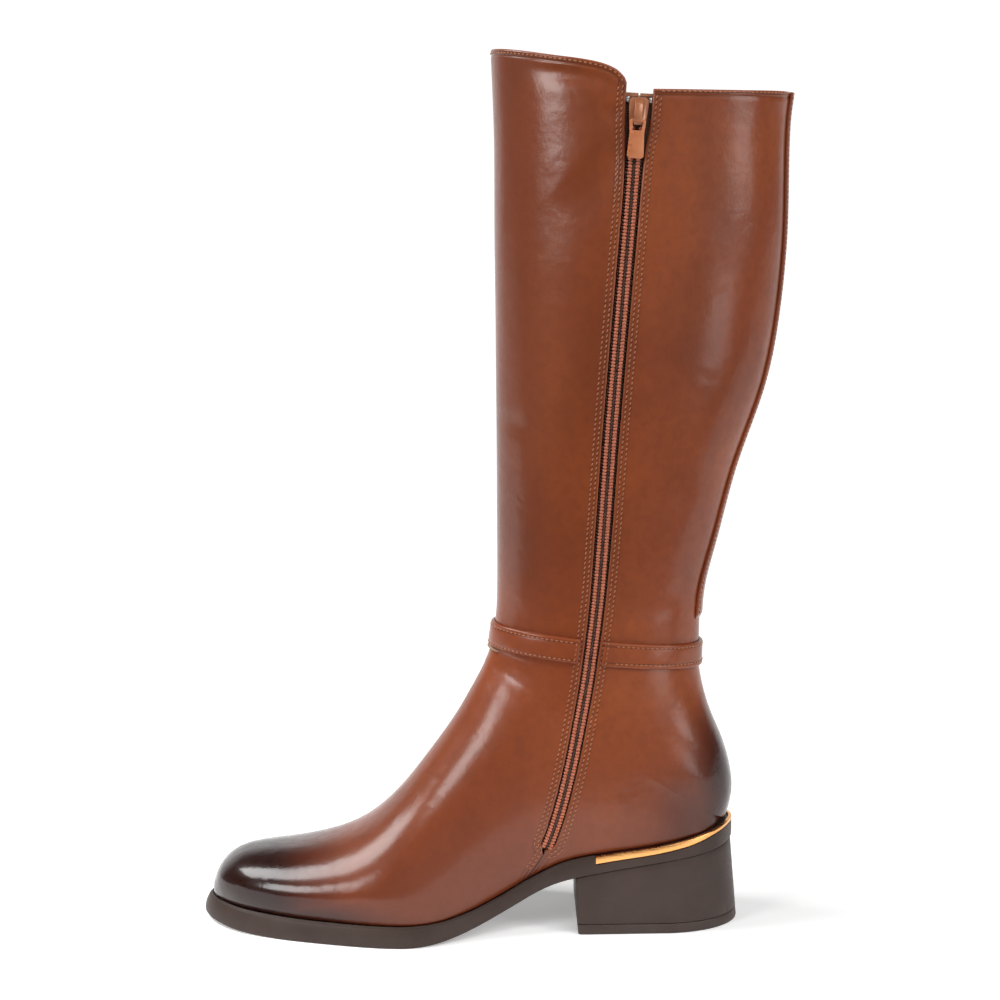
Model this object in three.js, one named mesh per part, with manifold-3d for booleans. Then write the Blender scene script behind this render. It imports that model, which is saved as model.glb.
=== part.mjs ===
// Knee-high riding boot, right foot, with a full-length zip on the inner side and a block heel.
// Millimetres. Origin: middle of the heel's bottom face. +X to the toe, +Y to the inner side, +Z up.
import * as THREE from 'three';
import { mergeVertices } from 'three/addons/utils/BufferGeometryUtils.js';
import Module from 'manifold-3d';

const wasm = await Module();
wasm.setup();

// ---------------------------------------------------------------- driving sizes
const WALL = 2.0;              // leather and lining of the upper
const GAP = 0.3;               // between pieces that touch
const SEAT_GAP = 0.6;          // between the upper's foot and the sole, both curved
const OVERLAY_GAP = 0.4;       // between the upper's facets and what lies on them
const AROUND = 15;             // facets from the back line to the front line, on each side
const WIDE_ROW = 17;           // section spacing above which a section is added in between

const INSOLE_THICK = 2.5;
const INSOLE_CLEARANCE = 2.0;

const RIM_WIDTH = 3.0;         // the sole stands out past the upper by this much
const RIM_AT_TOE = -0.7;       // less at the very toe
const TREAD_WIDTH = 3.2;       // the same at the sole's bottom edge
const TREAD_AT_TOE = 1.3;
const BULGE = 0.7;             // the sole's edge is slightly rounded

const LIFT_HEIGHT = 5.0;
const HEEL_BREAST = 40.0;      // x of the heel's straight front face, at the floor
const HEEL_BREAST_LEAN = 1.2;  // further forward at the top
const HEEL_SPLIT = 0.135;      // share of the taper below the joint of lift and block
const HEEL_BACK = { floor: -40.0, top: -36.3 };
const HEEL_HALF_WIDTH = { floor: 30.3, top: 31.4 };
const HEEL_FRONT_HALF_WIDTH = { floor: 32.0, top: 31.6 };
const HEEL_TURNS = 12;         // facets from the back to the widest place
const HEEL_FLAT_PARTS = 3;     // facets from there to the front face

const BAND_FRONT = 31.6;       // x where the gold strip starts
const BAND_HEIGHT = 3.6;
const BAND_THICK = 1.6;
const BAND_STEPS = 20;
const BAND_PROUD = 0.25;
const BAND_CUTTER_REACH = 3;   // the groove's cutter stands out past the sole's edge

const STRAP_THICK = 1.7;
const STRAP_ZIP_GAP = 5.2;     // strap ends this far from the zip's centre line
const STRAP_INNER_PARTS = 8;   // facets on the inner side, from the zip to the front or back
const STRAP_OUTER_PARTS = 18;

const STAY_HALF_WIDTH = 11.0;
const STAY_THICK = 1.0;
const STAY_ABOVE_STRAP = 11;   // the stay's lower end, past the strap's top edge
const STAY_BELOW_EDGE = 1.5;
const STAY_ROWS = 26;
const STAY_PARTS = 4;          // facets on each side of the back line

const TAPE_HALF_WIDTH = 9.0;
const TAPE_THICK = 0.8;
const TAPE_DEPTH = WALL + 0.8; // tape's outer face below the leather's outer face
const COIL_HALF_WIDTH = 3.0;
const COIL_TOP_DEPTH = 0.5;
const TAPE_GAP = { closed: 0.25, open: 2.0 };  // from the centre line, below and above the slider
const TAPE_TOP = 399;
const SLOT_TOP = 428;
const SLOT_REACH = 6;          // the slot's cutter stands out and in past the leather
const SLOT_ROWS = 34;
const ZIP_PIECE_ROWS = 26;

const SLIDER_Z = 388.6;        // height of the pull's hinge
const SLIDER_LENGTH = 12.3;
const SLIDER_TOP_WIDTH = 8.6;
const SLIDER_LOW_WIDTH = 7.5;
const SLIDER_PLATE = 1.3;
const BRIDGE_WIDTH = 3.4;
const PULL_WIDTH = 7.6;
const PULL_LENGTH = 17.6;
const PULL_THICK = 1.4;
const PULL_WAIST = 0.5;        // narrower than the ends by this much on each side
const STOP = { across: 1.3, along: 2.4, high: 1.9 };
const STOP_PLACE = { across: 5.1, along: -9.4, high: -1.45 };

// ---------------------------------------------------------------- tables
// Sections of the upper. Each lies along a line from its low point (bx, bz), on the edge of the
// sole or on the back of the leg, to its high point (tx, tz), on the front of the foot or leg.
// footIn and footOut: half widths at the sole. wideIn and wideOut: greatest half widths.
// ridge: sideways place of the high point. widest: where along the line it is widest.
// crown and flank: fullness of the curve above and below the widest place.
const SECTION_COLUMNS = ['name', 'bx', 'bz', 'tx', 'tz', 'footIn', 'footOut', 'wideIn', 'wideOut',
  'ridge', 'widest', 'crown', 'flank'];
const SECTION_ROWS = [
  ['toe_tip',      220.5,  11.6, 220.5,  11.6,  1.0, -1.0,  1.0, -1.0, 1.0, 0.25, 2.30, 2.0],
  ['toe_wall',     218.8,  11.6, 220.4,  16.9,  8.0,  6.4,  8.8,  7.2, 1.0, 0.25, 2.30, 2.0],
  ['toe_nose',     216.0,  11.6, 219.0,  21.8, 13.0, 11.4, 14.2, 12.6, 1.2, 0.25, 2.30, 2.0],
  ['toe_cap',      210.5,  11.4, 216.0,  27.2, 19.2, 17.8, 20.6, 19.2, 1.6, 0.25, 2.30, 2.0],
  ['toe_round',    203.0,  11.2, 209.6,  32.4, 25.4, 24.0, 27.0, 25.6, 2.2, 0.25, 2.28, 2.0],
  ['toe_box',      192.0,  10.8, 200.0,  35.4, 31.2, 30.4, 32.9, 32.1, 3.0, 0.24, 2.22, 2.0],
  ['vamp_point',   176.0,  10.3, 184.0,  37.5, 37.2, 37.2, 38.8, 38.8, 4.2, 0.23, 2.14, 2.0],
  ['ball_front',   158.0,  10.0, 167.0,  40.8, 42.2, 42.2, 43.6, 43.6, 5.5, 0.22, 2.06, 2.0],
  ['ball',         140.0,   9.9, 152.0,  46.3, 46.2, 44.8, 47.3, 46.1, 6.5, 0.22, 2.00, 2.0],
  ['ball_back',    122.0,  10.0, 138.5,  55.3, 47.6, 45.0, 48.6, 46.4, 7.0, 0.22, 1.96, 2.0],
  ['waist_front',  108.0,  10.4, 126.5,  67.3, 43.4, 42.4, 45.0, 44.4, 6.8, 0.24, 1.92, 2.0],
  ['waist',         94.0,  13.0, 115.5,  81.2, 36.4, 38.6, 40.0, 41.4, 6.0, 0.28, 1.90, 2.0],
  ['arch',          79.0,  18.8, 105.5,  94.8, 30.4, 34.4, 36.6, 38.2, 5.0, 0.32, 1.92, 2.0],
  ['instep',        63.0,  27.7,  98.5, 105.2, 28.0, 31.0, 34.6, 35.6, 3.9, 0.36, 1.96, 2.1],
  ['heel_front',    45.0,  36.2,  93.3, 114.1, 28.1, 29.2, 33.4, 33.9, 2.9, 0.40, 2.00, 2.2],
  ['short_heel',    25.0,  40.4,  89.6, 120.8, 28.5, 28.7, 32.6, 32.8, 2.1, 0.43, 2.05, 2.3],
  ['heel_seat',      3.0,  43.9,  87.1, 125.6, 28.5, 28.5, 32.0, 32.1, 1.5, 0.45, 2.08, 2.4],
  ['heel_round',   -14.0,  47.4,  85.8, 128.4, 26.2, 26.2, 31.7, 31.7, 1.1, 0.46, 2.10, 2.4],
  ['heel_turn',    -25.5,  49.9,  85.0, 130.4, 19.2, 19.2, 31.5, 31.5, 0.8, 0.46, 2.10, 2.4],
  ['heel_corner',  -31.4,  51.1,  84.3, 131.9,  9.6,  9.6, 31.4, 31.4, 0.6, 0.46, 2.10, 2.4],
  ['heel_point',   -33.7,  51.5,  83.8, 133.3,  0.0,  0.0, 31.3, 31.3, 0.5, 0.46, 2.10, 2.4],
  ['counter_low',  -36.1,  61.0,  83.3, 134.8,  0.0,  0.0, 31.1, 31.1, 0.4, 0.46, 2.10, 2.4],
  ['counter',      -36.3,  72.5,  82.9, 135.8,  0.0,  0.0, 30.8, 30.8, 0.3, 0.46, 2.10, 2.3],
  ['counter_top',  -32.2,  89.0,  82.6, 136.7,  0.0,  0.0, 30.2, 30.2, 0.2, 0.47, 2.08, 2.2],
  ['ankle_low',    -24.1, 109.0,  82.3, 137.4,  0.0,  0.0, 29.4, 29.4, 0.1, 0.48, 2.06, 2.1],
  ['strap_low',    -19.6, 128.2,  82.0, 138.0,  0.0,  0.0, 28.8, 28.8, 0.0, 0.50, 2.05, 2.1],
  ['strap_high',   -19.5, 140.4,  80.4, 149.6,  0.0,  0.0, 28.4, 28.4, 0.0, 0.50, 2.05, 2.1],
  ['ankle',        -19.9, 159.0,  79.5, 165.0,  0.0,  0.0, 29.0, 29.0, 0.0, 0.50, 2.08, 2.1],
  ['shin',         -25.9, 189.0,  79.5, 194.0,  0.0,  0.0, 31.8, 31.8, 0.0, 0.50, 2.10, 2.1],
  ['calf_low',     -35.7, 228.0,  79.6, 232.0,  0.0,  0.0, 36.2, 36.2, 0.0, 0.50, 2.10, 2.1],
  ['calf',         -48.5, 267.0,  80.0, 270.0,  0.0,  0.0, 39.8, 39.8, 0.0, 0.50, 2.10, 2.1],
  ['calf_full',    -54.4, 300.0,  80.3, 302.0,  0.0,  0.0, 41.8, 41.8, 0.0, 0.50, 2.10, 2.1],
  ['calf_high',    -57.3, 338.0,  80.7, 340.0,  0.0,  0.0, 43.0, 43.0, 0.0, 0.50, 2.10, 2.1],
  ['shaft_high',   -57.4, 370.0,  80.8, 374.0,  0.0,  0.0, 43.2, 43.2, 0.0, 0.50, 2.10, 2.1],
  ['under_collar', -57.7, 388.0,  81.2, 392.0,  0.0,  0.0, 43.2, 43.2, 0.0, 0.50, 2.10, 2.1],
  ['collar',       -59.4, 403.0,  82.5, 422.9,  0.0,  0.0, 43.4, 43.4, 0.0, 0.50, 2.10, 2.1],
];
// Columns that start with no slope at the toe, where both sides of the boot meet.
const LEVEL_AT_TOE = ['bx', 'bz', 'tx', 'ridge', 'widest', 'crown', 'flank'];
const FOOT_COLUMNS = ['bx', 'bz', 'footIn', 'footOut'];

// Underside of the sole: height z at place x.
const UNDERSIDE_ROWS = [
  { x: 226.0, z: 3.4 }, { x: 218.0, z: 2.0 }, { x: 208.0, z: 1.0 }, { x: 195.0, z: 0.3 },
  { x: 180.0, z: 0.0 }, { x: 122.0, z: 0.0 }, { x: 114.0, z: 0.4 }, { x: 107.0, z: 1.2 },
  { x: 100.0, z: 2.6 }, { x: 92.5, z: 4.8 }, { x: 85.0, z: 7.7 }, { x: 77.0, z: 11.6 },
  { x: 69.0, z: 16.0 }, { x: 61.5, z: 20.4 }, { x: 54.0, z: 24.2 }, { x: 47.0, z: 26.8 },
  { x: 40.0, z: 28.6 }, { x: 18.0, z: 33.1 }, { x: -6.5, z: 37.2 }, { x: -20.0, z: 39.2 },
  { x: -37.0, z: 41.6 },
];

// Top edge of the shaft: height z at place x, on the inner and on the outer side of the leg.
const COLLAR_INNER_ROWS = [
  { x: -61.0, z: 403.0 }, { x: -30.0, z: 402.6 }, { x: 6.0, z: 402.8 }, { x: 19.5, z: 403.0 },
  { x: 22.0, z: 408.2 }, { x: 26.0, z: 411.9 }, { x: 33.0, z: 414.7 }, { x: 41.0, z: 416.4 },
  { x: 55.0, z: 418.5 }, { x: 70.0, z: 421.0 }, { x: 82.6, z: 422.9 },
];
const COLLAR_OUTER_ROWS = [
  { x: -61.0, z: 403.0 }, { x: -30.0, z: 402.6 }, { x: 0.0, z: 402.8 }, { x: 14.0, z: 404.6 },
  { x: 28.0, z: 409.2 }, { x: 42.0, z: 414.4 }, { x: 56.0, z: 418.2 }, { x: 70.0, z: 421.0 },
  { x: 82.6, z: 422.9 },
];

// The zip's centre line on the inner side: place x and half width of its opening at height z.
const ZIP_ROWS = [
  { z: 30.0, x: 60.5, half: 3.5 }, { z: 42.0, x: 56.0, half: 3.5 }, { z: 60.5, x: 49.7, half: 3.5 },
  { z: 83.5, x: 44.1, half: 3.5 }, { z: 106.0, x: 39.7, half: 3.5 }, { z: 129.0, x: 35.8, half: 3.6 },
  { z: 166.0, x: 31.4, half: 3.8 }, { z: 199.0, x: 29.1, half: 4.0 }, { z: 243.0, x: 26.5, half: 4.0 },
  { z: 308.0, x: 21.8, half: 4.0 }, { z: 353.0, x: 18.3, half: 4.0 }, { z: 372.0, x: 17.0, half: 4.4 },
  { z: 388.0, x: 15.8, half: 5.8 }, { z: 405.0, x: 14.7, half: 6.2 }, { z: 430.0, x: 13.2, half: 6.2 },
];
const ZIP_BOTTOM = 42.0;

// ---------------------------------------------------------------- curves
// Smooth curve through knots (a natural cubic, or level at its start).
function cubic(knots, values, levelStart) {
  const n = knots.length;
  const step = knots.slice(1).map((k, i) => k - knots[i]);
  const slope = values.slice(1).map((v, i) => (v - values[i]) / step[i]);
  const diagonal = new Array(n).fill(1);
  const upper = new Array(n).fill(0);
  const bend = new Array(n).fill(0);
  if (levelStart) {
    diagonal[0] = 2 * step[0];
    upper[0] = step[0];
    bend[0] = 6 * slope[0];
  }
  for (let i = 1; i < n - 1; i++) {
    const low = step[i - 1];
    const factor = low / diagonal[i - 1];
    diagonal[i] = 2 * (step[i - 1] + step[i]) - factor * upper[i - 1];
    bend[i] = 6 * (slope[i] - slope[i - 1]) - factor * bend[i - 1];
    upper[i] = step[i];
  }
  bend[n - 1] = 0;
  for (let i = n - 2; i >= 0; i--) {
    bend[i] = (bend[i] - upper[i] * bend[i + 1]) / diagonal[i];
  }
  return (k) => {
    let i = 0;
    while (i < n - 2 && k > knots[i + 1]) i++;
    const a = (knots[i + 1] - k) / step[i];
    const b = 1 - a;
    const lift = ((a ** 3 - a) * bend[i] + (b ** 3 - b) * bend[i + 1]) * step[i] ** 2 / 6;
    return a * values[i] + b * values[i + 1] + lift;
  };
}

// Smooth curve that never swings past its knots.
function steady(rows, key, value) {
  const sorted = [...rows].sort((a, b) => a[key] - b[key]);
  const k = sorted.map((row) => row[key]);
  const v = sorted.map((row) => row[value]);
  const n = k.length;
  const chord = v.slice(1).map((next, i) => (next - v[i]) / (k[i + 1] - k[i]));
  const slope = v.map((_, i) => {
    if (i === 0) return chord[0];
    if (i === n - 1) return chord[n - 2];
    if (chord[i - 1] * chord[i] <= 0) return 0;
    return 2 * chord[i - 1] * chord[i] / (chord[i - 1] + chord[i]);
  });
  return (at) => {
    const x = Math.min(Math.max(at, k[0]), k[n - 1]);
    let i = 0;
    while (i < n - 2 && x > k[i + 1]) i++;
    const h = k[i + 1] - k[i];
    const f = (x - k[i]) / h;
    const start = (1 + 2 * f) * (1 - f) ** 2 * v[i] + f * (1 - f) ** 2 * h * slope[i];
    const end = f * f * (3 - 2 * f) * v[i + 1] + f * f * (f - 1) * h * slope[i + 1];
    return start + end;
  };
}

const mix = (a, b, f) => a + (b - a) * f;

// ---------------------------------------------------------------- the upper's shape
const sections = SECTION_ROWS.map((row) => Object.fromEntries(SECTION_COLUMNS.map((c, i) => [c, row[i]])));
const heelIndex = sections.findIndex((row) => row.name === 'heel_point');

// Stations: distance along the boot, the mean of the low and the high points' way.
const stations = [0];
for (let i = 1; i < sections.length; i++) {
  const a = sections[i - 1];
  const b = sections[i];
  const low = Math.hypot(b.bx - a.bx, b.bz - a.bz, b.footIn - a.footIn);
  const high = Math.hypot(b.tx - a.tx, b.tz - a.tz);
  stations.push(stations[i - 1] + (low + high) / 2);
}
const HEEL_STATION = stations[heelIndex];
const COLLAR_STATION = stations[stations.length - 1];
const stationOf = (name) => stations[sections.findIndex((row) => row.name === name)];

function columnCurve(column) {
  const values = sections.map((row) => row[column]);
  const level = LEVEL_AT_TOE.includes(column);
  if (!FOOT_COLUMNS.includes(column)) return cubic(stations, values, level);
  // The low points turn a corner at the heel, slowly enough to leave no ridge on the upper:
  // one curve under the foot, mirrored past the heel, and one up the leg.
  const mirrored = values[heelIndex - 1] * (column.startsWith('foot') ? -1 : 1);
  const beyond = 2 * HEEL_STATION - stations[heelIndex - 1];
  const footStations = [...stations.slice(0, heelIndex + 1), beyond];
  const foot = cubic(footStations, [...values.slice(0, heelIndex + 1), mirrored], level);
  const leg = cubic(stations.slice(heelIndex), values.slice(heelIndex), true);
  return (s) => (s <= HEEL_STATION ? foot(s) : leg(s));
}

const curves = {};
for (const column of SECTION_COLUMNS.slice(1)) curves[column] = columnCurve(column);

function sectionAt(s) {
  const row = {};
  for (const column of SECTION_COLUMNS.slice(1)) row[column] = curves[column](s);
  if (s > HEEL_STATION) {
    row.footIn = 0;
    row.footOut = 0;
  }
  return row;
}

// Half width of one side of a section, at fraction t of the way from its low to its high point.
function halfWidth(foot, wide, row, t) {
  const full = Math.max(wide, foot);
  if (full < 1e-6) return 0;
  if (t >= row.widest) {
    const u = (t - row.widest) / (1 - row.widest);
    return full * Math.max(0, 1 - u ** row.crown) ** (1 / row.crown);
  }
  const u = (row.widest - t) / row.widest;
  const cut = 1 - Math.max(0, foot / full) ** row.flank;
  return full * Math.max(0, 1 - cut * u ** row.flank) ** (1 / row.flank);
}

const collarInner = steady(COLLAR_INNER_ROWS, 'x', 'z');
const collarOuter = steady(COLLAR_OUTER_ROWS, 'x', 'z');
const COLLAR_START = stationOf('calf_high');

// A point of the outer surface. side is 1 for the inner side of the leg and -1 for the outer.
function pointInSection(row, s, t, side) {
  const x = mix(row.bx, row.tx, t);
  let z = mix(row.bz, row.tz, t);
  const footMiddle = (row.footIn - row.footOut) / 2;
  const middle = mix(footMiddle, row.ridge, t);
  const wideMiddle = mix(footMiddle, row.ridge, row.widest);
  const half = side > 0
    ? halfWidth(row.footIn - footMiddle, row.wideIn - wideMiddle, row, t)
    : halfWidth(row.footOut + footMiddle, row.wideOut + wideMiddle, row, t);
  if (s > COLLAR_START) {
    const edge = (side > 0 ? collarInner : collarOuter)(x);
    const straight = mix(sections.at(-1).bz, sections.at(-1).tz, t);
    const share = (s - COLLAR_START) / (COLLAR_STATION - COLLAR_START);
    z += (edge - straight) * share ** 2;
  }
  return new THREE.Vector3(x, middle + side * half, z);
}

// Fractions t that space the points evenly along one side of a section.
function evenFractions(row, s, side, count) {
  const fine = 240;            // steps used to measure the section's length
  const at = [];
  const run = [0];
  let last = null;
  for (let i = 0; i <= fine; i++) {
    const t = (1 - Math.cos(Math.PI * i / fine)) / 2;
    const p = pointInSection(row, s, t, side);
    if (last) run.push(run.at(-1) + p.distanceTo(last));
    at.push(t);
    last = p;
  }
  const fractions = [];
  let j = 0;
  for (let i = 0; i <= count; i++) {
    const goal = run.at(-1) * i / count;
    while (j < fine - 1 && run[j + 1] < goal) j++;
    const part = run[j + 1] > run[j] ? (goal - run[j]) / (run[j + 1] - run[j]) : 0;
    fractions.push(mix(at[j], at[j + 1], Math.min(1, part)));
  }
  return fractions;
}

// Points around a section: up the inner side, over the front and down the outer side.
function sectionLoop(s, count) {
  const row = sectionAt(s);
  const inner = evenFractions(row, s, 1, count).map((t) => pointInSection(row, s, t, 1));
  const outer = evenFractions(row, s, -1, count).map((t) => pointInSection(row, s, t, -1));
  outer.reverse();
  return [...inner, ...outer.slice(1)];
}

// The outer surface at (x, z) on one side: finds the section that passes through that place.
function place(x, z) {
  const cross = (s) => {
    const row = sectionAt(s);
    return (row.tx - row.bx) * (z - row.bz) - (row.tz - row.bz) * (x - row.bx);
  };
  let low = stationOf('waist');
  let high = COLLAR_STATION;
  for (let i = 0; i < 40; i++) {
    const middle = (low + high) / 2;
    if (cross(middle) > 0) low = middle;
    else high = middle;
  }
  const s = (low + high) / 2;
  const row = sectionAt(s);
  const dx = row.tx - row.bx;
  const dz = row.tz - row.bz;
  const t = ((x - row.bx) * dx + (z - row.bz) * dz) / (dx * dx + dz * dz);
  return { s, row, t };
}

// Point and outward normal on the inner side of the leg, for the zip.
function innerSkin(x, z) {
  const height = (px, pz) => {
    const at = place(px, pz);
    return pointInSection(at.row, Math.min(at.s, COLLAR_START), at.t, 1).y;
  };
  const d = 0.5;
  const y = height(x, z);
  const slopeX = (height(x + d, z) - height(x - d, z)) / (2 * d);
  const slopeZ = (height(x, z + d) - height(x, z - d)) / (2 * d);
  return {
    point: new THREE.Vector3(x, y, z),
    normal: new THREE.Vector3(-slopeX, 1, -slopeZ).normalize(),
  };
}

// ---------------------------------------------------------------- making closed meshes
function geometryFrom(points, triangles) {
  const geometry = new THREE.BufferGeometry();
  const flat = points.flatMap((p) => [p.x, p.y, p.z]);
  geometry.setAttribute('position', new THREE.Float32BufferAttribute(flat, 3));
  geometry.setIndex(triangles.flat());
  return geometry;
}

// Skin over a grid of loops. Every loop has the same number of points and closes on itself.
// Each end is closed by strips across its loop.
function loft(loops) {
  const count = loops[0].length;
  const points = loops.flat();
  const triangles = [];
  for (let i = 0; i < loops.length - 1; i++) {
    for (let j = 0; j < count; j++) {
      const a = i * count + j;
      const b = i * count + (j + 1) % count;
      triangles.push([a, b, b + count], [a, b + count, a + count]);
    }
  }
  for (const [start, flip] of [[0, true], [(loops.length - 1) * count, false]]) {
    for (let j = 0; j < Math.floor((count - 1) / 2); j++) {
      const a = start + j;
      const b = start + j + 1;
      const c = start + count - 1 - j - 1;
      const d = start + count - 1 - j;
      const quads = b === c ? [[a, b, d]] : [[a, b, c], [a, c, d]];
      for (const q of quads) triangles.push(flip ? [q[0], q[2], q[1]] : q);
    }
  }
  return solid(geometryFrom(points, triangles));
}

// One closed body as a manifold, with its vertices merged and its faces turned outwards.
function solid(geometry) {
  const bare = geometry.clone();
  bare.deleteAttribute('normal');
  bare.deleteAttribute('uv');
  const merged = mergeVertices(bare, 1e-4);
  const position = merged.getAttribute('position');
  const index = Array.from(merged.index.array);
  const triangles = [];
  for (let i = 0; i < index.length; i += 3) {
    const [a, b, c] = [index[i], index[i + 1], index[i + 2]];
    if (a !== b && b !== c && c !== a) triangles.push(a, b, c);
  }
  let volume = 0;
  const v = new THREE.Vector3();
  const w = new THREE.Vector3();
  const u = new THREE.Vector3();
  for (let i = 0; i < triangles.length; i += 3) {
    v.fromBufferAttribute(position, triangles[i]);
    w.fromBufferAttribute(position, triangles[i + 1]);
    u.fromBufferAttribute(position, triangles[i + 2]);
    volume += v.dot(w.cross(u));
  }
  if (volume < 0) {
    for (let i = 0; i < triangles.length; i += 3) {
      [triangles[i + 1], triangles[i + 2]] = [triangles[i + 2], triangles[i + 1]];
    }
  }
  const mesh = new wasm.Mesh({
    numProp: 3,
    vertProperties: new Float32Array(position.array),
    triVerts: new Uint32Array(triangles),
  });
  return new wasm.Manifold(mesh);
}

function geometryOf(manifold) {
  const mesh = manifold.getMesh();
  const geometry = new THREE.BufferGeometry();
  geometry.setAttribute('position', new THREE.BufferAttribute(new Float32Array(mesh.vertProperties), 3));
  geometry.setIndex(new THREE.BufferAttribute(new Uint32Array(mesh.triVerts), 1));
  return geometry;
}

// ---------------------------------------------------------------- upper
function upperStations() {
  const list = [];
  for (let i = 0; i < stations.length - 1; i++) {
    const parts = stations[i + 1] - stations[i] > WIDE_ROW ? 2 : 1;
    for (let k = 0; k < parts; k++) list.push(mix(stations[i], stations[i + 1], k / parts));
  }
  list.push(COLLAR_STATION);
  return list;
}

// Outward normals of a grid of loops whose first loop is a single point at the toe.
function gridNormals(loops) {
  const rows = loops.length;
  const count = loops[0].length;
  const clamp = THREE.MathUtils.clamp;
  const at = (i, j) => loops[clamp(i, 0, rows - 1)][clamp(j, 0, count - 1)].clone();
  return loops.map((loop, i) => {
    const onLeg = loop[0].distanceTo(loop[count - 1]) < 1e-6;
    const normals = loop.map((p, j) => {
      if (i === 0) return new THREE.Vector3(1, 0, 0);
      const before = onLeg && j === 0 ? at(i, count - 2) : at(i, j - 1);
      const after = onLeg && j === count - 1 ? at(i, 1) : at(i, j + 1);
      const normal = at(i + 1, j).sub(at(i - 1, j)).cross(after.sub(before)).normalize();
      if (j > 0 && j < count - 1) return normal;
      return (onLeg ? normal.setY(0) : normal.setZ(0)).normalize();
    });
    if (onLeg) normals[count - 1].copy(normals[0]);
    return normals;
  });
}

function upperSolid() {
  const list = upperStations();
  const outer = list.map((s) => sectionLoop(s, AROUND));
  const normals = gridNormals(outer);
  const inner = outer.map((loop, i) => loop.map((p, j) => p.clone().addScaledVector(normals[i][j], -WALL)));
  const count = outer[0].length;
  const rows = outer.length;
  const points = [...outer.flat(), ...inner.flat()];
  const shift = rows * count;
  const triangles = [];
  const quad = (a, b, c, d) => triangles.push([a, b, c], [a, c, d]);
  for (let i = 0; i < rows - 1; i++) {
    for (let j = 0; j < count - 1; j++) {
      const a = i * count + j;
      quad(a, a + 1, a + 1 + count, a + count);
      quad(shift + a, shift + a + count, shift + a + 1 + count, shift + a + 1);
    }
    if (list[i] < HEEL_STATION - 1e-6) {
      const a = i * count;
      const b = a + count - 1;
      quad(a, a + count, shift + a + count, shift + a);
      quad(b, shift + b, shift + b + count, b + count);
    }
  }
  const top = (rows - 1) * count;
  for (let j = 0; j < count - 1; j++) quad(top + j, top + j + 1, shift + top + j + 1, shift + top + j);
  return solid(geometryFrom(points, triangles));
}

// ---------------------------------------------------------------- zip line
const zipX = steady(ZIP_ROWS, 'z', 'x');
const zipHalf = steady(ZIP_ROWS, 'z', 'half');

// Directions at a height on the zip: along it (down), across it (to the front) and outwards.
function zipFrame(z) {
  const skin = innerSkin(zipX(z), z);
  const d = 1.0;
  const lower = innerSkin(zipX(z - d), z - d).point;
  const upper = innerSkin(zipX(z + d), z + d).point;
  const down = lower.sub(upper).normalize();
  const out = skin.normal.clone().addScaledVector(down, -skin.normal.dot(down)).normalize();
  const front = new THREE.Vector3().crossVectors(down, out).normalize();
  return { point: skin.point, down, out, front };
}

// Strip that follows the zip line: from across-place u0(z) to u1(z), and from depth d0 to d1
// below the leather's outer face.
function zipStrip(zLow, zHigh, u0, u1, d0, d1, steps, across) {
  const loops = [];
  for (let i = 0; i <= steps; i++) {
    const z = mix(zLow, zHigh, i / steps);
    const frame = zipFrame(z);
    const spots = [];
    for (let k = 0; k <= across; k++) {
      const u = mix(u0(z), u1(z), k / across);
      const spot = innerSkin(frame.point.x + frame.front.x * u, frame.point.z + frame.front.z * u);
      spots.push(spot);
    }
    const top = spots.map((spot) => spot.point.clone().addScaledVector(spot.normal, -d0));
    const low = spots.map((spot) => spot.point.clone().addScaledVector(spot.normal, -d1));
    loops.push([...top, ...low.reverse()]);
  }
  return loft(loops);
}

function zipSlotCutter() {
  return zipStrip(ZIP_BOTTOM, SLOT_TOP, (z) => -zipHalf(z), zipHalf, -SLOT_REACH, WALL + SLOT_REACH,
    SLOT_ROWS, 1);
}

// The two tapes part just above the slider.
function tapeSolid(side) {
  const parting = (z) => THREE.MathUtils.smoothstep(z, SLIDER_Z - 6, SLIDER_Z + 4);
  const spread = (z) => mix(TAPE_GAP.closed, TAPE_GAP.open, parting(z));
  return zipStrip(ZIP_BOTTOM, TAPE_TOP, (z) => side * spread(z), () => side * TAPE_HALF_WIDTH,
    TAPE_DEPTH, TAPE_DEPTH + TAPE_THICK, ZIP_PIECE_ROWS, 3);
}

function coilSolid() {
  return zipStrip(ZIP_BOTTOM + GAP, SLIDER_Z + 1.0, () => -COIL_HALF_WIDTH, () => COIL_HALF_WIDTH,
    COIL_TOP_DEPTH, TAPE_DEPTH - OVERLAY_GAP, ZIP_PIECE_ROWS, 1);
}

// ---------------------------------------------------------------- sole
// Plan curve of the upper's foot on one side, moved outwards by a distance.
function planPoint(s, side, distance) {
  const d = 0.4;
  const key = side > 0 ? 'footIn' : 'footOut';
  const at = (k) => {
    const station = Math.min(Math.max(k, 0), HEEL_STATION);
    return new THREE.Vector2(curves.bx(station), side * curves[key](station));
  };
  const here = at(s);
  const tangent = at(s + d).sub(at(s - d));
  const normal = new THREE.Vector2(-side * tangent.y, side * tangent.x).normalize();
  if (s <= d) normal.set(1, 0);
  if (s >= HEEL_STATION - d) normal.set(-1, 0);
  if (normal.dot(new THREE.Vector2(0, side)) < 0) normal.negate();
  const reach = typeof distance === 'function' ? distance(normal) : distance;
  return here.addScaledVector(normal, reach);
}

const underside = steady(UNDERSIDE_ROWS, 'x', 'z');
const seatRows = sections.slice(0, heelIndex + 1).map((row) => ({ x: row.bx, z: row.bz }));
const seatHeight = steady(seatRows, 'x', 'z');
const rimReach = (normal) => RIM_WIDTH + RIM_AT_TOE * Math.max(0, normal.x);
const treadReach = (normal) => TREAD_WIDTH + TREAD_AT_TOE * Math.max(0, normal.x);

function soleStations(count) {
  const list = [];
  for (let i = 0; i <= count; i++) list.push(HEEL_STATION * (1 - Math.cos(Math.PI * i / count)) / 2);
  return list;
}

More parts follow.
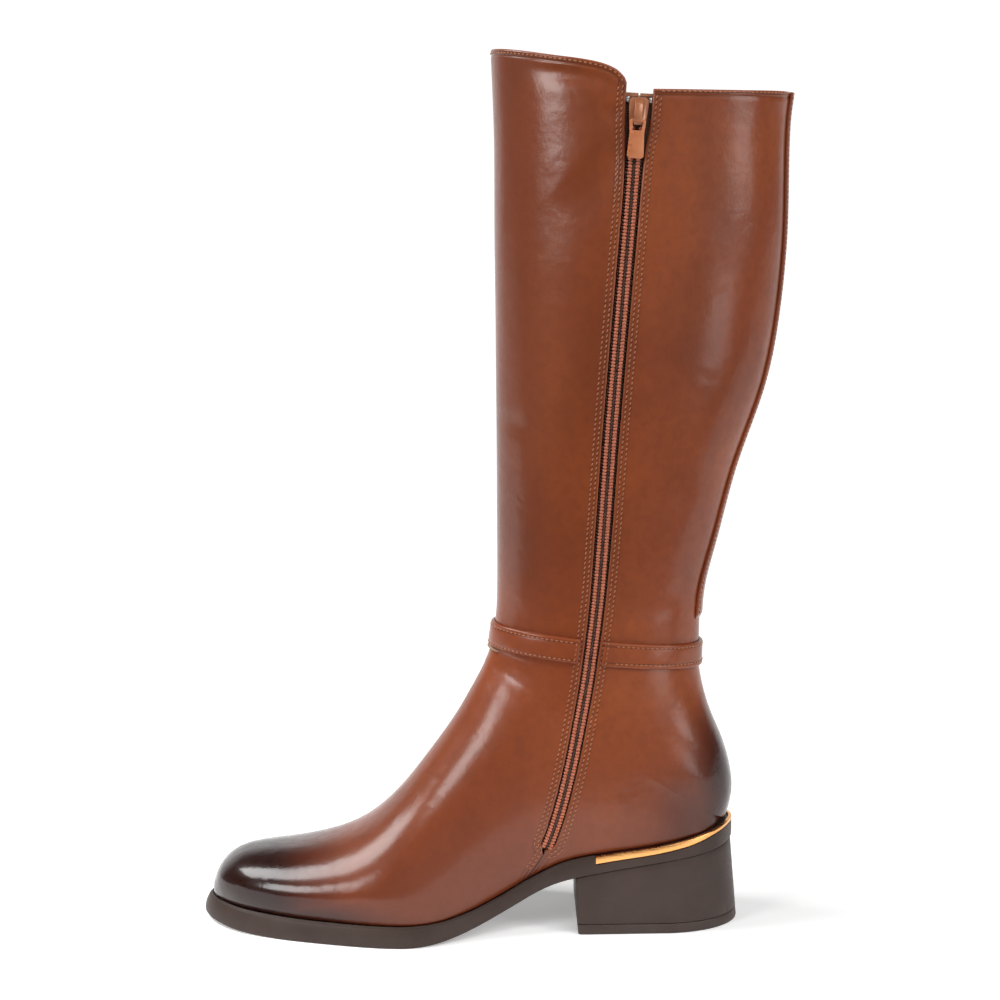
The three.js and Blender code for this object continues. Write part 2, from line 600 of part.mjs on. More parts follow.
// Body between two plan outlines, as ribs that cross from one side of the foot to the other.
function ribbed(list, levels) {
  return loft(list.map((s) => {
    const side = (sign) => levels.map((level) => {
      const p = planPoint(s, sign, level.reach);
      return new THREE.Vector3(p.x, p.y, level.height(p.x));
    });
    return [...side(1), ...side(-1).reverse()];
  }));
}

function outsoleSolid() {
  const top = (x) => seatHeight(x) - SEAT_GAP;
  const middle = (x) => mix(underside(x), top(x), 0.5);
  const middleReach = (n) => (rimReach(n) + treadReach(n)) / 2 + BULGE;
  return ribbed(soleStations(52), [
    { reach: rimReach, height: top },
    { reach: middleReach, height: middle },
    { reach: treadReach, height: underside },
  ]);
}

function insoleSolid() {
  const reach = -(WALL + INSOLE_CLEARANCE);
  return ribbed(soleStations(40), [
    { reach, height: (x) => seatHeight(x) + GAP + INSOLE_THICK },
    { reach, height: (x) => seatHeight(x) + GAP },
  ]);
}

// Strip round the heel seat's top edge, from its front end on one side round the back.
// grow is 0 for the strip itself, and its clearance for the cutter that makes its groove.
function bandSolid(grow) {
  const outward = grow > 0 ? BAND_CUTTER_REACH : BAND_PROUD;
  const section = (s, side) => {
    const out = planPoint(s, side, RIM_WIDTH + outward);
    const inside = planPoint(s, side, RIM_WIDTH - BAND_THICK - grow);
    const z = seatHeight(planPoint(s, side, RIM_WIDTH).x) - SEAT_GAP;
    const lift = grow > 0 ? BAND_CUTTER_REACH : 0;
    return [
      new THREE.Vector3(out.x, out.y, z + lift),
      new THREE.Vector3(inside.x, inside.y, z + lift),
      new THREE.Vector3(inside.x, inside.y, z - BAND_HEIGHT - grow),
      new THREE.Vector3(out.x, out.y, z - BAND_HEIGHT - grow),
    ];
  };
  // Station of the strip's front end.
  let from = stationOf('arch');
  while (curves.bx(from) > BAND_FRONT + grow) from += 0.05;
  const list = [];
  for (let i = 0; i <= BAND_STEPS; i++) {
    list.push(mix(from, HEEL_STATION, Math.sin(Math.PI / 2 * i / BAND_STEPS)));
  }
  const inner = list.map((s) => section(s, 1));
  const outer = list.map((s) => section(s, -1)).reverse();
  return loft([...inner, ...outer.slice(1)]);
}

// ---------------------------------------------------------------- heel
// Half width of the heel at place x. top is 0 at the floor and 1 at the seat.
function heelOutline(x, top) {
  const back = mix(HEEL_BACK.floor, HEEL_BACK.top, top);
  const half = mix(HEEL_HALF_WIDTH.floor, HEEL_HALF_WIDTH.top, top);
  const front = mix(HEEL_FRONT_HALF_WIDTH.floor, HEEL_FRONT_HALF_WIDTH.top, top);
  if (x >= 0) return mix(half, front, x / HEEL_BREAST);
  return half * Math.sqrt(Math.max(0, 1 - (x / back) ** 2));
}

function heelRibs(levels) {
  const place = (i, top) => {
    const back = mix(HEEL_BACK.floor, HEEL_BACK.top, top);
    const breast = HEEL_BREAST + HEEL_BREAST_LEAN * top;
    if (i <= HEEL_TURNS) return back * Math.cos(Math.PI / 2 * i / HEEL_TURNS);
    return breast * (i - HEEL_TURNS) / HEEL_FLAT_PARTS;
  };
  const loops = [];
  for (let i = 0; i <= HEEL_TURNS + HEEL_FLAT_PARTS; i++) {
    const loop = (side) => levels.map((level) => {
      const x = place(i, level.top);
      return new THREE.Vector3(x, side * heelOutline(x, level.top), level.height(x));
    });
    loops.push([...loop(1), ...loop(-1).reverse()]);
  }
  return loft(loops);
}

function heelBlockSolid() {
  return heelRibs([
    { top: 1, height: (x) => underside(Math.min(x, HEEL_BREAST + HEEL_BREAST_LEAN)) - GAP },
    { top: HEEL_SPLIT, height: () => LIFT_HEIGHT + GAP },
  ]);
}

function heelLiftSolid() {
  return heelRibs([
    { top: HEEL_SPLIT, height: () => LIFT_HEIGHT },
    { top: 0, height: () => 0 },
  ]);
}

// ---------------------------------------------------------------- overlays on the upper
// Point above the outer surface by a lift, at a station, a fraction and a side.
function wrapPoint(s, t, side, lift) {
  const row = sectionAt(s);
  const p = pointInSection(row, s, t, side);
  const d = 0.004;
  const wrap = (k) => {
    if (k < 0) return pointInSection(row, s, -k, -side);
    if (k > 1) return pointInSection(row, s, 2 - k, -side);
    return pointInSection(row, s, k, side);
  };
  const across = wrap(t + d).sub(wrap(t - d));
  const up = sectionAt(s + 1);
  const down = sectionAt(s - 1);
  const along = pointInSection(up, s + 1, t, side).sub(pointInSection(down, s - 1, t, side));
  const normal = along.cross(across).multiplyScalar(side).normalize();
  return p.addScaledVector(normal, lift);
}

// Strap round the ankle, from the zip's front edge over the front and the outer side to the back,
// and on to the zip's rear edge. Facets are even in angle, where t = (1 - cos(angle)) / 2.
function strapSolid() {
  const low = stationOf('strap_low');
  const high = stationOf('strap_high');
  const middle = sectionAt((low + high) / 2);
  const zipAt = zipX(mix(middle.bz, middle.tz, middle.widest));
  const angleAt = (x) => Math.acos(1 - 2 * (x - middle.bx) / (middle.tx - middle.bx));
  const stops = [];
  const walk = (from, to, parts, side) => {
    for (let i = 0; i < parts; i++) {
      const angle = mix(from, to, i / parts);
      stops.push([(1 - Math.cos(angle)) / 2, side]);
    }
  };
  const rear = angleAt(zipAt - STRAP_ZIP_GAP);
  walk(angleAt(zipAt + STRAP_ZIP_GAP), Math.PI, STRAP_INNER_PARTS, 1);
  walk(Math.PI, 0, STRAP_OUTER_PARTS, -1);
  walk(0, rear, STRAP_INNER_PARTS, 1);
  walk(rear, rear, 1, 1);
  return loft(stops.map(([t, side]) => [
    wrapPoint(low, t, side, OVERLAY_GAP),
    wrapPoint(low, t, side, OVERLAY_GAP + STRAP_THICK),
    wrapPoint(high, t, side, OVERLAY_GAP + STRAP_THICK),
    wrapPoint(high, t, side, OVERLAY_GAP),
  ]));
}

// Strip sewn over the back line, from above the strap to the top edge.
function backStaySolid() {
  const from = stationOf('strap_high') + STAY_ABOVE_STRAP;
  const to = COLLAR_STATION - STAY_BELOW_EDGE;
  const loops = [];
  for (let i = 0; i <= STAY_ROWS; i++) {
    const s = mix(from, to, i / STAY_ROWS);
    const row = sectionAt(s);
    // Fraction at which the section is as wide as the stay.
    let t = 0;
    while (pointInSection(row, s, t, 1).y < STAY_HALF_WIDTH) t += 0.0005;
    const across = (lift) => {
      const line = [];
      for (let k = -STAY_PARTS; k <= STAY_PARTS; k++) {
        line.push(wrapPoint(s, t * (k / STAY_PARTS) ** 2, k >= 0 ? 1 : -1, lift));
      }
      return line;
    };
    loops.push([...across(OVERLAY_GAP + STAY_THICK), ...across(OVERLAY_GAP).reverse()]);
  }
  return loft(loops);
}

// ---------------------------------------------------------------- slider and pull
// Built in the zip's own directions: x across to the front, y down, z outwards.
function plateShape(topWidth, lowWidth, from, to) {
  const shape = new THREE.Shape();
  const c = 1.2;
  shape.moveTo(-topWidth / 2 + c, from);
  shape.lineTo(topWidth / 2 - c, from);
  shape.lineTo(topWidth / 2, from + c);
  shape.lineTo(topWidth / 2, mix(from, to, 0.4));
  shape.lineTo(lowWidth / 2, to - c);
  shape.lineTo(lowWidth / 2 - c, to);
  shape.lineTo(-lowWidth / 2 + c, to);
  shape.lineTo(-lowWidth / 2, to - c);
  shape.lineTo(-topWidth / 2, mix(from, to, 0.4));
  shape.lineTo(-topWidth / 2, from + c);
  return shape;
}

function extruded(shape, depth, z) {
  const geometry = new THREE.ExtrudeGeometry(shape, { depth, bevelEnabled: false, curveSegments: 8 });
  geometry.translate(0, 0, z);
  return solid(geometry);
}

const SLIDER_FACE = 0.9;           // slider plate's outer face above the leather
const SLIDER_LOW_END = 1.9;        // past the hinge, down the zip
const NECK = { across: 2.0, along: 4.0, at: 3.0 };
const HINGE_HEIGHT = SLIDER_FACE + 1.35;
const BRIDGE_RISE = 3.4;
const BRIDGE_INSIDE = 2.5;         // clear height under the bridge, where the pull's bar turns
const BAR_ROOM = 1.15;             // from the hinge to the bridge's lower end
const PULL_BAR = { top: -0.75, low: 0.65 };
const PULL_EYE = { half: 2.2, low: 4.4 };

function sliderSolid() {
  const from = SLIDER_LOW_END - SLIDER_LENGTH;
  const shape = plateShape(SLIDER_TOP_WIDTH, SLIDER_LOW_WIDTH, from, SLIDER_LOW_END);
  const top = extruded(shape, SLIDER_PLATE, SLIDER_FACE - SLIDER_PLATE);
  const lowFace = -(TAPE_DEPTH + TAPE_THICK + GAP);
  const low = extruded(shape, SLIDER_PLATE, lowFace - SLIDER_PLATE);
  const neck = new THREE.BoxGeometry(NECK.across, NECK.along, SLIDER_FACE - lowFace + SLIDER_PLATE);
  neck.translate(0, from + NECK.at, (SLIDER_FACE + lowFace - SLIDER_PLATE) / 2);
  return top.add(low).add(solid(neck)).add(bridgeSolid(from));
}

// The bridge is an arch seen from the side, swept across its width.
function bridgeSolid(from) {
  const root = SLIDER_FACE - 0.4;
  const inside = SLIDER_FACE + BRIDGE_INSIDE;
  const arch = new THREE.Shape();
  arch.moveTo(from + 1.0, root);
  arch.lineTo(from + 2.4, SLIDER_FACE + BRIDGE_RISE - 1.1);
  arch.lineTo(from + 4.2, SLIDER_FACE + BRIDGE_RISE - 0.2);
  arch.lineTo(0.6, SLIDER_FACE + BRIDGE_RISE);
  arch.lineTo(SLIDER_LOW_END - 0.1, SLIDER_FACE + BRIDGE_RISE - 0.7);
  arch.lineTo(SLIDER_LOW_END - 0.1, root);
  arch.lineTo(BAR_ROOM, root);
  arch.lineTo(BAR_ROOM, inside);
  arch.lineTo(-2.4, inside);
  arch.lineTo(-2.9, root);
  const bridge = new THREE.ExtrudeGeometry(arch, { depth: BRIDGE_WIDTH, bevelEnabled: false });
  bridge.translate(0, 0, -BRIDGE_WIDTH / 2);
  const swing = new THREE.Matrix4().makeBasis(
    new THREE.Vector3(0, 1, 0), new THREE.Vector3(0, 0, 1), new THREE.Vector3(1, 0, 0));
  return solid(bridge.applyMatrix4(swing));
}

function pullSolid() {
  const half = PULL_WIDTH / 2;
  const low = PULL_BAR.top + PULL_LENGTH;
  const waistAt = mix(PULL_BAR.top, low, 0.35);
  const corner = 1.0;
  const shape = new THREE.Shape();
  shape.moveTo(-half + corner, PULL_BAR.top);
  shape.lineTo(half - corner, PULL_BAR.top);
  shape.lineTo(half, PULL_BAR.top + corner);
  shape.lineTo(half - PULL_WAIST, waistAt);
  shape.lineTo(half, low - corner);
  shape.lineTo(half - corner, low);
  shape.lineTo(-half + corner, low);
  shape.lineTo(-half, low - corner);
  shape.lineTo(-half + PULL_WAIST, waistAt);
  shape.lineTo(-half, PULL_BAR.top + corner);
  const eye = new THREE.Path();
  eye.moveTo(-PULL_EYE.half, PULL_BAR.low);
  eye.lineTo(PULL_EYE.half, PULL_BAR.low);
  eye.lineTo(PULL_EYE.half, PULL_EYE.low);
  eye.lineTo(-PULL_EYE.half, PULL_EYE.low);
  eye.closePath();
  shape.holes.push(eye);
  return extruded(shape, PULL_THICK, -PULL_THICK / 2);
}

// Group in the zip's own directions, on the leather's outer face.
function zipGroup(z) {
  const frame = zipFrame(z);
  const group = new THREE.Group();
  const basis = new THREE.Matrix4().makeBasis(frame.front, frame.down, frame.out);
  group.quaternion.setFromRotationMatrix(basis);
  group.position.copy(frame.point);
  return group;
}

// ---------------------------------------------------------------- assembly
const LEATHER = { color: 0x8a4526, roughness: 0.34, metalness: 0.0 };
const SOLE = { color: 0x2c211d, roughness: 0.5, metalness: 0.0 };
const GOLD = { color: 0xc8933f, roughness: 0.28, metalness: 1.0 };
const TEXTILE = { color: 0x3a1f14, roughness: 0.85, metalness: 0.0 };
const PAINTED = { color: 0xb06c47, roughness: 0.35, metalness: 0.3 };
const STEEL = { color: 0xb9b9bd, roughness: 0.3, metalness: 1.0 };
const LINING = { color: 0xb9926c, roughness: 0.7, metalness: 0.0 };

const boot = new THREE.Group();

function piece(name, body, finish, parent = boot) {
  const mesh = new THREE.Mesh(geometryOf(body), new THREE.MeshStandardMaterial(finish));
  mesh.name = name;
  parent.add(mesh);
  return mesh;
}

piece('upper', upperSolid().subtract(zipSlotCutter()), LEATHER);
piece('insole', insoleSolid(), LINING);
piece('outsole', outsoleSolid().subtract(bandSolid(GAP)), SOLE);
piece('heel_trim_band', bandSolid(0), GOLD);
piece('heel_block', heelBlockSolid(), SOLE);
piece('heel_lift', heelLiftSolid(), SOLE);
piece('ankle_strap', strapSolid(), LEATHER);
piece('back_stay', backStaySolid(), LEATHER);
piece('zip_tape_front', tapeSolid(1), TEXTILE);
piece('zip_tape_rear', tapeSolid(-1), TEXTILE);
piece('zip_coil', coilSolid(), TEXTILE);

const slider = zipGroup(SLIDER_Z);
boot.add(slider);
piece('zip_slider', sliderSolid(), PAINTED, slider);
const pull = piece('zip_pull', pullSolid(), PAINTED, slider);
pull.position.z = HINGE_HEIGHT;

for (const [name, side] of [['zip_stop_front', 1], ['zip_stop_rear', -1]]) {
  const stop = solid(new THREE.BoxGeometry(STOP.across, STOP.along, STOP.high));
  const mesh = piece(name, stop, STEEL, slider);
  mesh.position.set(side * STOP_PLACE.across, STOP_PLACE.along, STOP_PLACE.high);
}

export default boot;
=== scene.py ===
import math

import bmesh
import bpy
import numpy as np
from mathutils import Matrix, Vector, kdtree


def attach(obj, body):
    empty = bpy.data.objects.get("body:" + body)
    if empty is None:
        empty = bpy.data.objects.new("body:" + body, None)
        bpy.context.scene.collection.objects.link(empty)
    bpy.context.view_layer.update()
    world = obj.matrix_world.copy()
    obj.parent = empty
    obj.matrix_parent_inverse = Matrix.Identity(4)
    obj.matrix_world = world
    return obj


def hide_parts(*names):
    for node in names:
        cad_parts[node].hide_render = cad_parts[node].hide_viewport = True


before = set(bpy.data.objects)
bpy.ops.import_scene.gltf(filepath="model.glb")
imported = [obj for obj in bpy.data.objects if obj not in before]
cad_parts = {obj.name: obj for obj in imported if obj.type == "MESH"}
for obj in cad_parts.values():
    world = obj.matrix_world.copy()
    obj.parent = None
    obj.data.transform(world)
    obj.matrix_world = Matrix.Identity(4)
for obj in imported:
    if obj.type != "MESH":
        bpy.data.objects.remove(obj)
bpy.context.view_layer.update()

MM = 0.001
BODY = "boot"
PULL_BODY = "pull_tab"

# ------------------------------------------------------------------ sizes, the same as the frame's
WALL = 2.0
SEAT_GAP = 0.6
RIM_WIDTH = 3.0
RIM_AT_TOE = -0.7
TREAD_WIDTH = 3.2
TREAD_AT_TOE = 1.3
BULGE = 0.7
HEEL_BULGE = 0.15
LIFT_HEIGHT = 5.0
JOINT_GAP = 0.3
HEEL_BREAST = 40.0
HEEL_BREAST_LEAN = 1.2
HEEL_SPLIT = 0.135
HEEL_BACK = {"floor": -40.0, "top": -36.3}
HEEL_HALF_WIDTH = {"floor": 30.3, "top": 31.4}
HEEL_FRONT_HALF_WIDTH = {"floor": 32.0, "top": 31.6}
BAND_FRONT = 31.6
BAND_THICK = 1.6
BAND_PROUD = 0.25
BAND_RISE = 0.5                # height of the strip's top above the sole's top line
STRAP_THICK = 1.7
STAY_HALF_WIDTH = 11.0
STAY_THICK = 1.0
ZIP_STITCH_ROWS = (1.7, 3.7)   # how far each stitch row lies in from the edge it follows
COLLAR_ROW = 1.45
STRAP_ROW = 1.75
STAY_ROW = 2.0
FOLD_DEPTH = 2.7               # how far the top edge is folded down
OVERLAY_GAP = 0.4
ZIP_BOTTOM = 42.0
ZIP_END_RADIUS = 3.5
TAPE_DEPTH = WALL + 0.8
SLIDER_Z = 388.6

# Sections of the upper: low point (bx, bz), high point (tx, tz), half widths at the sole and at the
# widest place on each side, sideways place of the high point, where it is widest, and the fullness
# of the curve above and below that place.
SECTION_COLUMNS = ("name", "bx", "bz", "tx", "tz", "footIn", "footOut", "wideIn", "wideOut",
                   "ridge", "widest", "crown", "flank")
SECTION_ROWS = (
    ("toe_tip",      220.5,  11.6, 220.5,  11.6,  1.0, -1.0,  1.0, -1.0, 1.0, 0.25, 2.30, 2.0),
    ("toe_wall",     218.8,  11.6, 220.4,  16.9,  8.0,  6.4,  8.8,  7.2, 1.0, 0.25, 2.30, 2.0),
    ("toe_nose",     216.0,  11.6, 219.0,  21.8, 13.0, 11.4, 14.2, 12.6, 1.2, 0.25, 2.30, 2.0),
    ("toe_cap",      210.5,  11.4, 216.0,  27.2, 19.2, 17.8, 20.6, 19.2, 1.6, 0.25, 2.30, 2.0),
    ("toe_round",    203.0,  11.2, 209.6,  32.4, 25.4, 24.0, 27.0, 25.6, 2.2, 0.25, 2.28, 2.0),
    ("toe_box",      192.0,  10.8, 200.0,  35.4, 31.2, 30.4, 32.9, 32.1, 3.0, 0.24, 2.22, 2.0),
    ("vamp_point",   176.0,  10.3, 184.0,  37.5, 37.2, 37.2, 38.8, 38.8, 4.2, 0.23, 2.14, 2.0),
    ("ball_front",   158.0,  10.0, 167.0,  40.8, 42.2, 42.2, 43.6, 43.6, 5.5, 0.22, 2.06, 2.0),
    ("ball",         140.0,   9.9, 152.0,  46.3, 46.2, 44.8, 47.3, 46.1, 6.5, 0.22, 2.00, 2.0),
    ("ball_back",    122.0,  10.0, 138.5,  55.3, 47.6, 45.0, 48.6, 46.4, 7.0, 0.22, 1.96, 2.0),
    ("waist_front",  108.0,  10.4, 126.5,  67.3, 43.4, 42.4, 45.0, 44.4, 6.8, 0.24, 1.92, 2.0),
    ("waist",         94.0,  13.0, 115.5,  81.2, 36.4, 38.6, 40.0, 41.4, 6.0, 0.28, 1.90, 2.0),
    ("arch",          79.0,  18.8, 105.5,  94.8, 30.4, 34.4, 36.6, 38.2, 5.0, 0.32, 1.92, 2.0),
    ("instep",        63.0,  27.7,  98.5, 105.2, 28.0, 31.0, 34.6, 35.6, 3.9, 0.36, 1.96, 2.1),
    ("heel_front",    45.0,  36.2,  93.3, 114.1, 28.1, 29.2, 33.4, 33.9, 2.9, 0.40, 2.00, 2.2),
    ("short_heel",    25.0,  40.4,  89.6, 120.8, 28.5, 28.7, 32.6, 32.8, 2.1, 0.43, 2.05, 2.3),
    ("heel_seat",      3.0,  43.9,  87.1, 125.6, 28.5, 28.5, 32.0, 32.1, 1.5, 0.45, 2.08, 2.4),
    ("heel_round",   -14.0,  47.4,  85.8, 128.4, 26.2, 26.2, 31.7, 31.7, 1.1, 0.46, 2.10, 2.4),
    ("heel_turn",    -25.5,  49.9,  85.0, 130.4, 19.2, 19.2, 31.5, 31.5, 0.8, 0.46, 2.10, 2.4),
    ("heel_corner",  -31.4,  51.1,  84.3, 131.9,  9.6,  9.6, 31.4, 31.4, 0.6, 0.46, 2.10, 2.4),
    ("heel_point",   -33.7,  51.5,  83.8, 133.3,  0.0,  0.0, 31.3, 31.3, 0.5, 0.46, 2.10, 2.4),
    ("counter_low",  -36.1,  61.0,  83.3, 134.8,  0.0,  0.0, 31.1, 31.1, 0.4, 0.46, 2.10, 2.4),
    ("counter",      -36.3,  72.5,  82.9, 135.8,  0.0,  0.0, 30.8, 30.8, 0.3, 0.46, 2.10, 2.3),
    ("counter_top",  -32.2,  89.0,  82.6, 136.7,  0.0,  0.0, 30.2, 30.2, 0.2, 0.47, 2.08, 2.2),
    ("ankle_low",    -24.1, 109.0,  82.3, 137.4,  0.0,  0.0, 29.4, 29.4, 0.1, 0.48, 2.06, 2.1),
    ("strap_low",    -19.6, 128.2,  82.0, 138.0,  0.0,  0.0, 28.8, 28.8, 0.0, 0.50, 2.05, 2.1),
    ("strap_high",   -19.5, 140.4,  80.4, 149.6,  0.0,  0.0, 28.4, 28.4, 0.0, 0.50, 2.05, 2.1),
    ("ankle",        -19.9, 159.0,  79.5, 165.0,  0.0,  0.0, 29.0, 29.0, 0.0, 0.50, 2.08, 2.1),
    ("shin",         -25.9, 189.0,  79.5, 194.0,  0.0,  0.0, 31.8, 31.8, 0.0, 0.50, 2.10, 2.1),
    ("calf_low",     -35.7, 228.0,  79.6, 232.0,  0.0,  0.0, 36.2, 36.2, 0.0, 0.50, 2.10, 2.1),
    ("calf",         -48.5, 267.0,  80.0, 270.0,  0.0,  0.0, 39.8, 39.8, 0.0, 0.50, 2.10, 2.1),
    ("calf_full",    -54.4, 300.0,  80.3, 302.0,  0.0,  0.0, 41.8, 41.8, 0.0, 0.50, 2.10, 2.1),
    ("calf_high",    -57.3, 338.0,  80.7, 340.0,  0.0,  0.0, 43.0, 43.0, 0.0, 0.50, 2.10, 2.1),
    ("shaft_high",   -57.4, 370.0,  80.8, 374.0,  0.0,  0.0, 43.2, 43.2, 0.0, 0.50, 2.10, 2.1),
    ("under_collar", -57.7, 388.0,  81.2, 392.0,  0.0,  0.0, 43.2, 43.2, 0.0, 0.50, 2.10, 2.1),
    ("collar",       -59.4, 403.0,  82.5, 422.9,  0.0,  0.0, 43.4, 43.4, 0.0, 0.50, 2.10, 2.1),
)
LEVEL_AT_TOE = ("bx", "bz", "tx", "ridge", "widest", "crown", "flank")
FOOT_COLUMNS = ("bx", "bz", "footIn", "footOut")

# Underside of the sole, and the shaft's top edge on each side: (x, z).
UNDERSIDE_ROWS = (
    (226.0, 3.4), (218.0, 2.0), (208.0, 1.0), (195.0, 0.3), (180.0, 0.0), (122.0, 0.0),
    (114.0, 0.4), (107.0, 1.2), (100.0, 2.6), (92.5, 4.8), (85.0, 7.7), (77.0, 11.6),
    (69.0, 16.0), (61.5, 20.4), (54.0, 24.2), (47.0, 26.8), (40.0, 28.6), (18.0, 33.1),
    (-6.5, 37.2), (-20.0, 39.2), (-37.0, 41.6),
)
COLLAR_INNER_ROWS = (
    (-61.0, 403.0), (-30.0, 402.6), (6.0, 402.8), (19.5, 403.0), (22.0, 408.2), (26.0, 411.9),
    (33.0, 414.7), (41.0, 416.4), (55.0, 418.5), (70.0, 421.0), (82.6, 422.9),
)
COLLAR_OUTER_ROWS = (
    (-61.0, 403.0), (-30.0, 402.6), (0.0, 402.8), (14.0, 404.6), (28.0, 409.2), (42.0, 414.4),
    (56.0, 418.2), (70.0, 421.0), (82.6, 422.9),
)
# The zip's centre line: (z, x, half width of its opening).
ZIP_ROWS = (
    (30.0, 60.5, 3.5), (42.0, 56.0, 3.5), (60.5, 49.7, 3.5), (83.5, 44.1, 3.5), (106.0, 39.7, 3.5),
    (129.0, 35.8, 3.6), (166.0, 31.4, 3.8), (199.0, 29.1, 4.0), (243.0, 26.5, 4.0),
    (308.0, 21.8, 4.0), (353.0, 18.3, 4.0), (372.0, 17.0, 4.4), (388.0, 15.8, 5.8),
    (405.0, 14.7, 6.2), (430.0, 13.2, 6.2),
)
SEAM_FOOT = (28.0, 64.4)       # z and x where the seam below the zip meets the sole


# ------------------------------------------------------------------ camera, lights and floor
def aim(thing, target):
    direction = Vector(target) - thing.location
    thing.rotation_euler = direction.to_track_quat("-Z", "Y").to_euler()


CAMERA_LENS = 73.8            # in mm, on a film 36 mm wide
CAMERA_PLACE = (0.078, 0.985, 0.356)
CAMERA_TILT = 81.5            # degrees from straight down


def make_camera():
    data = bpy.data.cameras.new("camera")
    data.lens = CAMERA_LENS
    data.sensor_width = 36.0
    camera = bpy.data.objects.new("camera", data)
    camera.location = CAMERA_PLACE
    camera.rotation_euler = (math.radians(CAMERA_TILT), 0.0, math.radians(180.0))
    bpy.context.collection.objects.link(camera)
    bpy.context.scene.camera = camera


def area_light(name, centre, azimuth, elevation, distance, size, radiance):
    """Rectangular light aimed at a point. Azimuth turns from +Y towards +X, in degrees."""
    data = bpy.data.lights.new(name, "AREA")
    data.shape = "RECTANGLE"
    data.size, data.size_y = size
    data.energy = radiance * math.pi * size[0] * size[1]
    light = bpy.data.objects.new(name, data)
    turn, rise = math.radians(azimuth), math.radians(elevation)
    ray = Vector((math.sin(turn) * math.cos(rise), math.cos(turn) * math.cos(rise), math.sin(rise)))
    light.location = Vector(centre) + distance * ray
    bpy.context.collection.objects.link(light)
    aim(light, centre)


# Parts of the surroundings: direction, cosines where each fades out and is full, and radiance.
SURROUNDINGS = (
    ((0.0, -1.0, 0.0), 0.40, 0.72, 1.0),
    ((-0.42, 0.90, 0.12), 0.72, 0.98, 0.32),
)
DARK = 0.05                   # radiance between those parts, and the share left overhead
CEILING = (0.30, 0.62)        # heights of a direction at which the surroundings fade to DARK


def smooth_range(nodes, low, high, to_low, to_high):
    """Node that maps a value from one span to another, with soft ends."""
    node = nodes.new("ShaderNodeMapRange")
    node.interpolation_type = "SMOOTHSTEP"
    for key, number in (("From Min", low), ("From Max", high), ("To Min", to_low), ("To Max", to_high)):
        node.inputs[key].default_value = number
    return node


def make_world():
    """A white backdrop behind the boot and a weak fill light on the inner side; dark elsewhere."""
    world = bpy.data.worlds.new("studio")
    world.use_nodes = True
    nodes, links = world.node_tree.nodes, world.node_tree.links
    background = nodes["Background"]
    background.inputs["Color"].default_value = (1.0, 1.0, 1.0, 1.0)
    place = nodes.new("ShaderNodeTexCoord")
    total = None
    for direction, fade, full, radiance in SURROUNDINGS:
        facing = nodes.new("ShaderNodeVectorMath")
        facing.operation = "DOT_PRODUCT"
        facing.inputs[1].default_value = direction
        links.new(place.outputs["Generated"], facing.inputs[0])
        level = smooth_range(nodes, fade, full, 0.0, radiance)
        links.new(facing.outputs["Value"], level.inputs["Value"])
        joined = nodes.new("ShaderNodeMath")
        joined.operation = "ADD"
        joined.inputs[1].default_value = DARK
        links.new(level.outputs["Result"], joined.inputs[0])
        if total is not None:
            links.new(total, joined.inputs[1])
        total = joined.outputs[0]
    split = nodes.new("ShaderNodeSeparateXYZ")
    links.new(place.outputs["Generated"], split.inputs[0])
    ceiling = smooth_range(nodes, *CEILING, 1.0, DARK)
    links.new(split.outputs["Z"], ceiling.inputs["Value"])
    shaded = nodes.new("ShaderNodeMath")
    shaded.operation = "MULTIPLY"
    links.new(total, shaded.inputs[0])
    links.new(ceiling.outputs["Result"], shaded.inputs[1])
    links.new(shaded.outputs[0], background.inputs["Strength"])
    bpy.context.scene.world = world


FLOOR_FRONT = 0.22            # the floor ends in front of the boot, behind the picture's lower edge
FLOOR_SIZE = (14.0, 12.0)


def make_floor():
    """A pale floor that glows behind the boot, a little near it and more far off, like a lit sweep."""
    bpy.ops.mesh.primitive_plane_add(size=1.0, location=(0.0, FLOOR_FRONT - FLOOR_SIZE[1] / 2.0, 0.0))
    floor = bpy.context.object
    floor.name = "studio_floor"
    floor.scale = (*FLOOR_SIZE, 1.0)
    paint = Paint("studio_floor")
    paint.set(Base_Color=rgb(0.95, 0.95, 0.95), Roughness=0.9, Emission_Color=rgb(1.0, 1.0, 1.0),
              Specular_IOR_Level=0.1)
    split = paint.nodes.new("ShaderNodeSeparateXYZ")
    paint.links.new(paint.nodes.new("ShaderNodeNewGeometry").outputs["Position"], split.inputs[0])
    near = paint.span(split.outputs["Y"], -1.0, -0.1, 0.72, 0.30)
    far = paint.span(split.outputs["Y"], -4.5, -0.9, 0.36, 0.0)
    paint.link(paint.math("ADD", near, far), "Emission Strength")
    floor.data.materials.append(paint.material)


# Each softbox: name, the point it is aimed at, azimuth, elevation, distance, size and radiance.
SOFTBOXES = (
    ("instep_softbox", (0.16, 0.03, 0.04), 92.0, 54.0, 1.4, (0.78, 0.62), 11.5),
    ("front_softbox", (0.06, 0.0, 0.20), -30.0, 48.0, 1.6, (1.2, 0.75), 3.9),
    ("right_softbox", (-0.01, 0.02, 0.15), -60.0, 24.0, 1.5, (0.50, 0.95), 4.6),
    ("low_softbox", (-0.015, 0.027, 0.08), -48.0, -3.0, 1.5, (0.50, 0.32), 3.2),
    ("left_softbox", (0.06, 0.03, 0.37), 47.0, 13.5, 1.5, (0.46, 0.60), 11.5),
)


def make_studio():
    make_world()
    make_floor()
    for softbox in SOFTBOXES:
        area_light(*softbox)


make_camera()
bpy.context.scene.view_settings.view_transform = "Standard"


# ------------------------------------------------------------------ curves
def mix(a, b, f):
    return a + (b - a) * f


def smooth(x, low, high):
    f = np.clip((x - low) / (high - low), 0.0, 1.0)
    return f * f * (3.0 - 2.0 * f)


